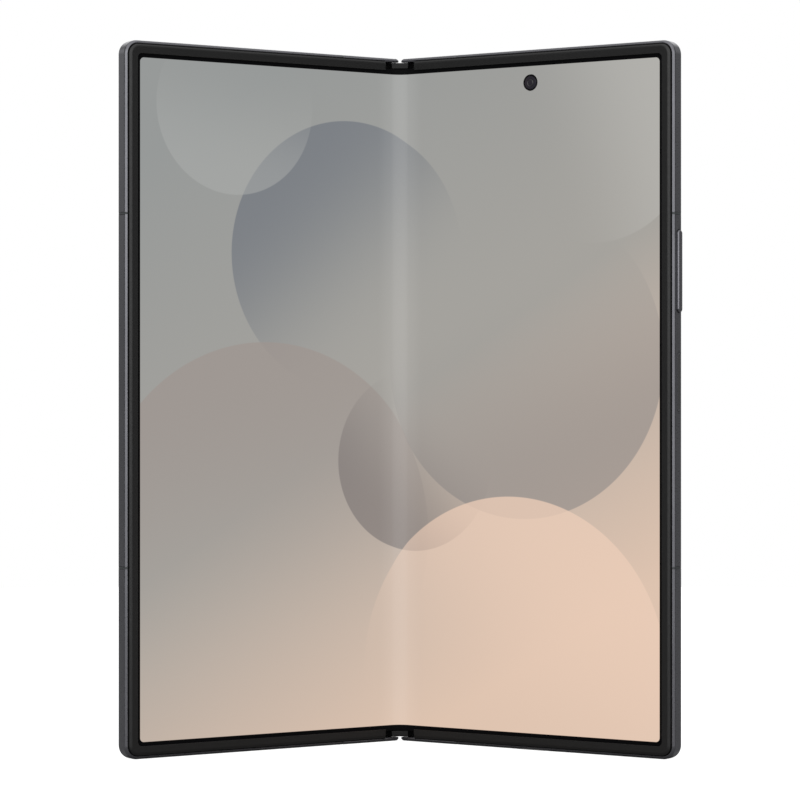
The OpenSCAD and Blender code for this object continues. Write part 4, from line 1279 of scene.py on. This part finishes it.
class PHONE_OT_keys(bpy.types.Operator):
    """Rounds the volume key, the power key and the sensor in it"""

    bl_idname = "phone.keys"
    bl_label = "Keys"

    def execute(self, context):
        volume = copy_node("volume_key", "volume_key_finished")
        outer = flat_box("volume_key", "right")[1].x
        crown = 0.4 * MM
        bevel_edges(volume, crown, 3, 50, on_leaf(
            "right", lambda spot: spot.x > outer - TOLERANCE))
        round_all(volume, 0.05 * MM, 2, 35)
        stand_for(volume, "volume_key")
        soft_copy("power_key", 0.08 * MM, 3, 50)
        soft_copy("fingerprint_sensor", 0.05 * MM, 2, 50)
        return {"FINISHED"}


class PHONE_OT_ports(bpy.types.Operator):
    """Finishes the USB socket, its contacts, the SIM tray and the mesh behind the holes"""

    bl_idname = "phone.ports"
    bl_label = "Ports and holes"

    def execute(self, context):
        soft_copy("usb_socket", 0.04 * MM)
        soft_copy("usb_tongue", 0.06 * MM)
        soft_copy("sim_tray", 0.05 * MM, pierced=True)
        self.contacts()
        inward = 0.45 * MM
        self.meshes("speaker_mesh", "right", 50 * MM, inward, 5)
        self.meshes("top_mesh", "left", 22 * MM, LEAF.z - inward, 4)
        return {"FINISHED"}

    def contacts(self):
        """Two rows of gold contacts on the USB tongue."""
        low, high = flat_box("usb_tongue", "right")
        count, pitch, from_end = 12, 0.5 * MM, 2.4 * MM
        row = (count - 1) * pitch
        for face, y in (("front", low.y), ("back", high.y)):
            pads = add_mesh("cube", f"usb_contacts_{face}", size=1)
            pads.location = ((low.x + high.x) / 2 - row / 2, y, low.z + from_end)
            pads.scale = (0.26 * MM, 0.02 * MM, 3.4 * MM)
            apply_place()
            repeat(pads, count, pitch)
            settle(pads, "right")
            dress(pads, "barrel_brass", "right_leaf")
            pads.data.materials[0] = material("contact_gold")

    def meshes(self, name, side, x, z, count):
        """A row of woven discs just inside the holes of a rail."""
        pitch, back_wall = 2.4 * MM, 0.5 * MM
        weave = add_mesh("cylinder", name, vertices=32, radius=0.49 * MM, depth=0.1 * MM,
                         location=(x, (SCREEN[1].y + LEAF.y - back_wall) / 2, z))
        apply_place()
        repeat(weave, count, pitch)
        settle(weave, side)
        dress(weave, "module_black", f"{side}_leaf")
        weave.data.materials[0] = material("mesh_weave")


class PHONE_OT_rest(bpy.types.Operator):
    """Gives every node that shows as it is its material"""

    bl_idname = "phone.rest"
    bl_label = "Other parts"

    def execute(self, context):
        for name, node in frame["nodes"].items():
            node.data.materials.clear()
            node.data.materials.append(material(SLOTS[name]))
        return {"FINISHED"}


class PHONE_OT_stage(bpy.types.Operator):
    """Sets the camera, the pale floor and the studio's soft light"""

    bl_idname = "phone.stage"
    bl_label = "Stage"

    # Soft lamps: heading from the camera's side and height in degrees, the angles at which
    # each starts to fade and is gone, and its strength
    LAMPS = (
        (0, 2, 16, 50, 1.1),
        (-27, 16, 6, 24, 1.4),
        (27, 14, 6, 24, 1.0),
        (0, 74, 26, 52, 1.1),
        (-118, 18, 5, 17, 0.7),
        (118, 22, 6, 18, 0.4),
        (-125, 0, 20, 60, 0.07),
        (125, 0, 20, 60, 0.07),
        (180, 6, 12, 40, 0.9),
        (-160, 40, 8, 26, 0.8),
        (160, 40, 8, 26, 0.8),
    )

    def execute(self, context):
        values = settings("stage")
        scene = context.scene
        scene.view_settings.view_transform = "Standard"
        scene.view_settings.look = "None"
        self.camera(scene, values)
        self.floor(values)
        self.studio(scene, values)
        return {"FINISHED"}

    def camera(self, scene, values):
        camera = bpy.data.objects.new("camera", bpy.data.cameras.new("camera"))
        scene.collection.objects.link(camera)
        camera.data.lens = values.lens
        camera.data.sensor_width = 36
        camera.data.clip_start, camera.data.clip_end = 0.01, 20
        camera.location = (values.across, -values.distance, values.height)
        camera.rotation_euler = (math.pi / 2, 0, 0)
        scene.camera = camera

    def floor(self, values):
        piece = add_mesh("circle", "floor", vertices=96, radius=values.floor, fill_type="NGON",
                         location=(0, 0, -0.02 * MM))
        apply_place()
        made = Finish("floor", roughness=0.9, specular=0.0)
        made.mottle((0.34, 0.34, 0.34), 0.01, 0.05)
        seen = made.node("LightPath").outputs["Is Camera Ray"]
        glow = made.node("Emission", {"Color": (1, 1, 1, 1), "Strength": 0.96})
        joined = made.node("AddShader", {0: made.shader.outputs[0], 1: glow.outputs[0]})
        split = made.node("MixShader", {0: seen, 1: made.shader.outputs[0],
                                        2: joined.outputs[0]})
        made.tree.links.new(split.outputs[0], made.tree.nodes["Material Output"].inputs["Surface"])
        piece.data.materials.append(made.material)
        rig.stage(piece)

    def studio(self, scene, values):
        """White backdrop for the camera, and soft lamps that light the telephone."""
        world = bpy.data.worlds.new("studio")
        scene.world = world
        world.use_nodes = True
        world.node_tree.nodes.clear()
        sky = Nodes(world.node_tree)
        heading = sky.node("TexCoord").outputs["Generated"]
        total = values.around
        for angle, height, inner, outer, strength in self.LAMPS:
            angle, height = math.radians(angle), math.radians(height)
            to_lamp = (math.sin(angle) * math.cos(height), -math.cos(angle) * math.cos(height),
                       math.sin(height))
            facing = sky.node("VectorMath", {0: heading, 1: to_lamp}, operation="DOT_PRODUCT")
            lamp = sky.node("MapRange", {
                "Value": facing.outputs["Value"], "From Min": math.cos(math.radians(outer)),
                "From Max": math.cos(math.radians(inner)), "To Min": 0.0,
                "To Max": strength * values.lamps},
                interpolation_type="SMOOTHSTEP").outputs["Result"]
            total = sky.math("ADD", total, lamp)
        light = sky.node("Background", {"Color": (1, 1, 1, 1), "Strength": total})
        white = sky.node("Background", {"Color": (1, 1, 1, 1), "Strength": 1.0})
        split = sky.node("MixShader", {0: sky.node("LightPath").outputs["Is Camera Ray"],
                                       1: light.outputs[0], 2: white.outputs[0]})
        out = sky.node("OutputWorld")
        sky.tree.links.new(split.outputs[0], out.inputs["Surface"])


STEPS = (PHONE_OT_frames, PHONE_OT_bezels, PHONE_OT_inner_screen, PHONE_OT_hinge,
         PHONE_OT_inner_camera, PHONE_OT_back_faces, PHONE_OT_camera_island, PHONE_OT_keys,
         PHONE_OT_ports, PHONE_OT_rest, PHONE_OT_stage)


class PHONE_PT_panel(bpy.types.Panel):
    """Lists the sizes, the colours and the pieces"""

    bl_label = "Telephone"
    bl_idname = "PHONE_PT_panel"
    bl_space_type = "VIEW_3D"
    bl_region_type = "UI"
    bl_category = "Telephone"

    def draw(self, context):
        for name in GROUPS:
            box = self.layout.box()
            group = settings(name)
            for value in group.bl_rna.properties:
                if value.identifier not in ("rna_type", "name"):
                    box.prop(group, value.identifier)
        for step in STEPS:
            self.layout.operator(step.bl_idname)


GROUPS = {"finish": PhoneFinish, "picture": PhonePicture, "stage": PhoneStage}
CLASSES = tuple(GROUPS.values()) + STEPS + (PHONE_PT_panel,)


def register():
    for kind in CLASSES:
        bpy.utils.register_class(kind)
    for name, group in GROUPS.items():
        setattr(bpy.types.Scene, "phone_" + name, PointerProperty(type=group))


def unregister():
    for name in GROUPS:
        delattr(bpy.types.Scene, "phone_" + name)
    for kind in reversed(CLASSES):
        bpy.utils.unregister_class(kind)


def main():
    register()
    for step in STEPS:
        group, name = step.bl_idname.split(".")
        getattr(getattr(bpy.ops, group), name)()
    visual_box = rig.bounds()
    with open("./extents.json", "w") as out:
        json.dump({"cad": [list(corner) for corner in cad_box],
                   "visual": [list(corner) for corner in visual_box]}, out)


if __name__ == "__main__":
    main()
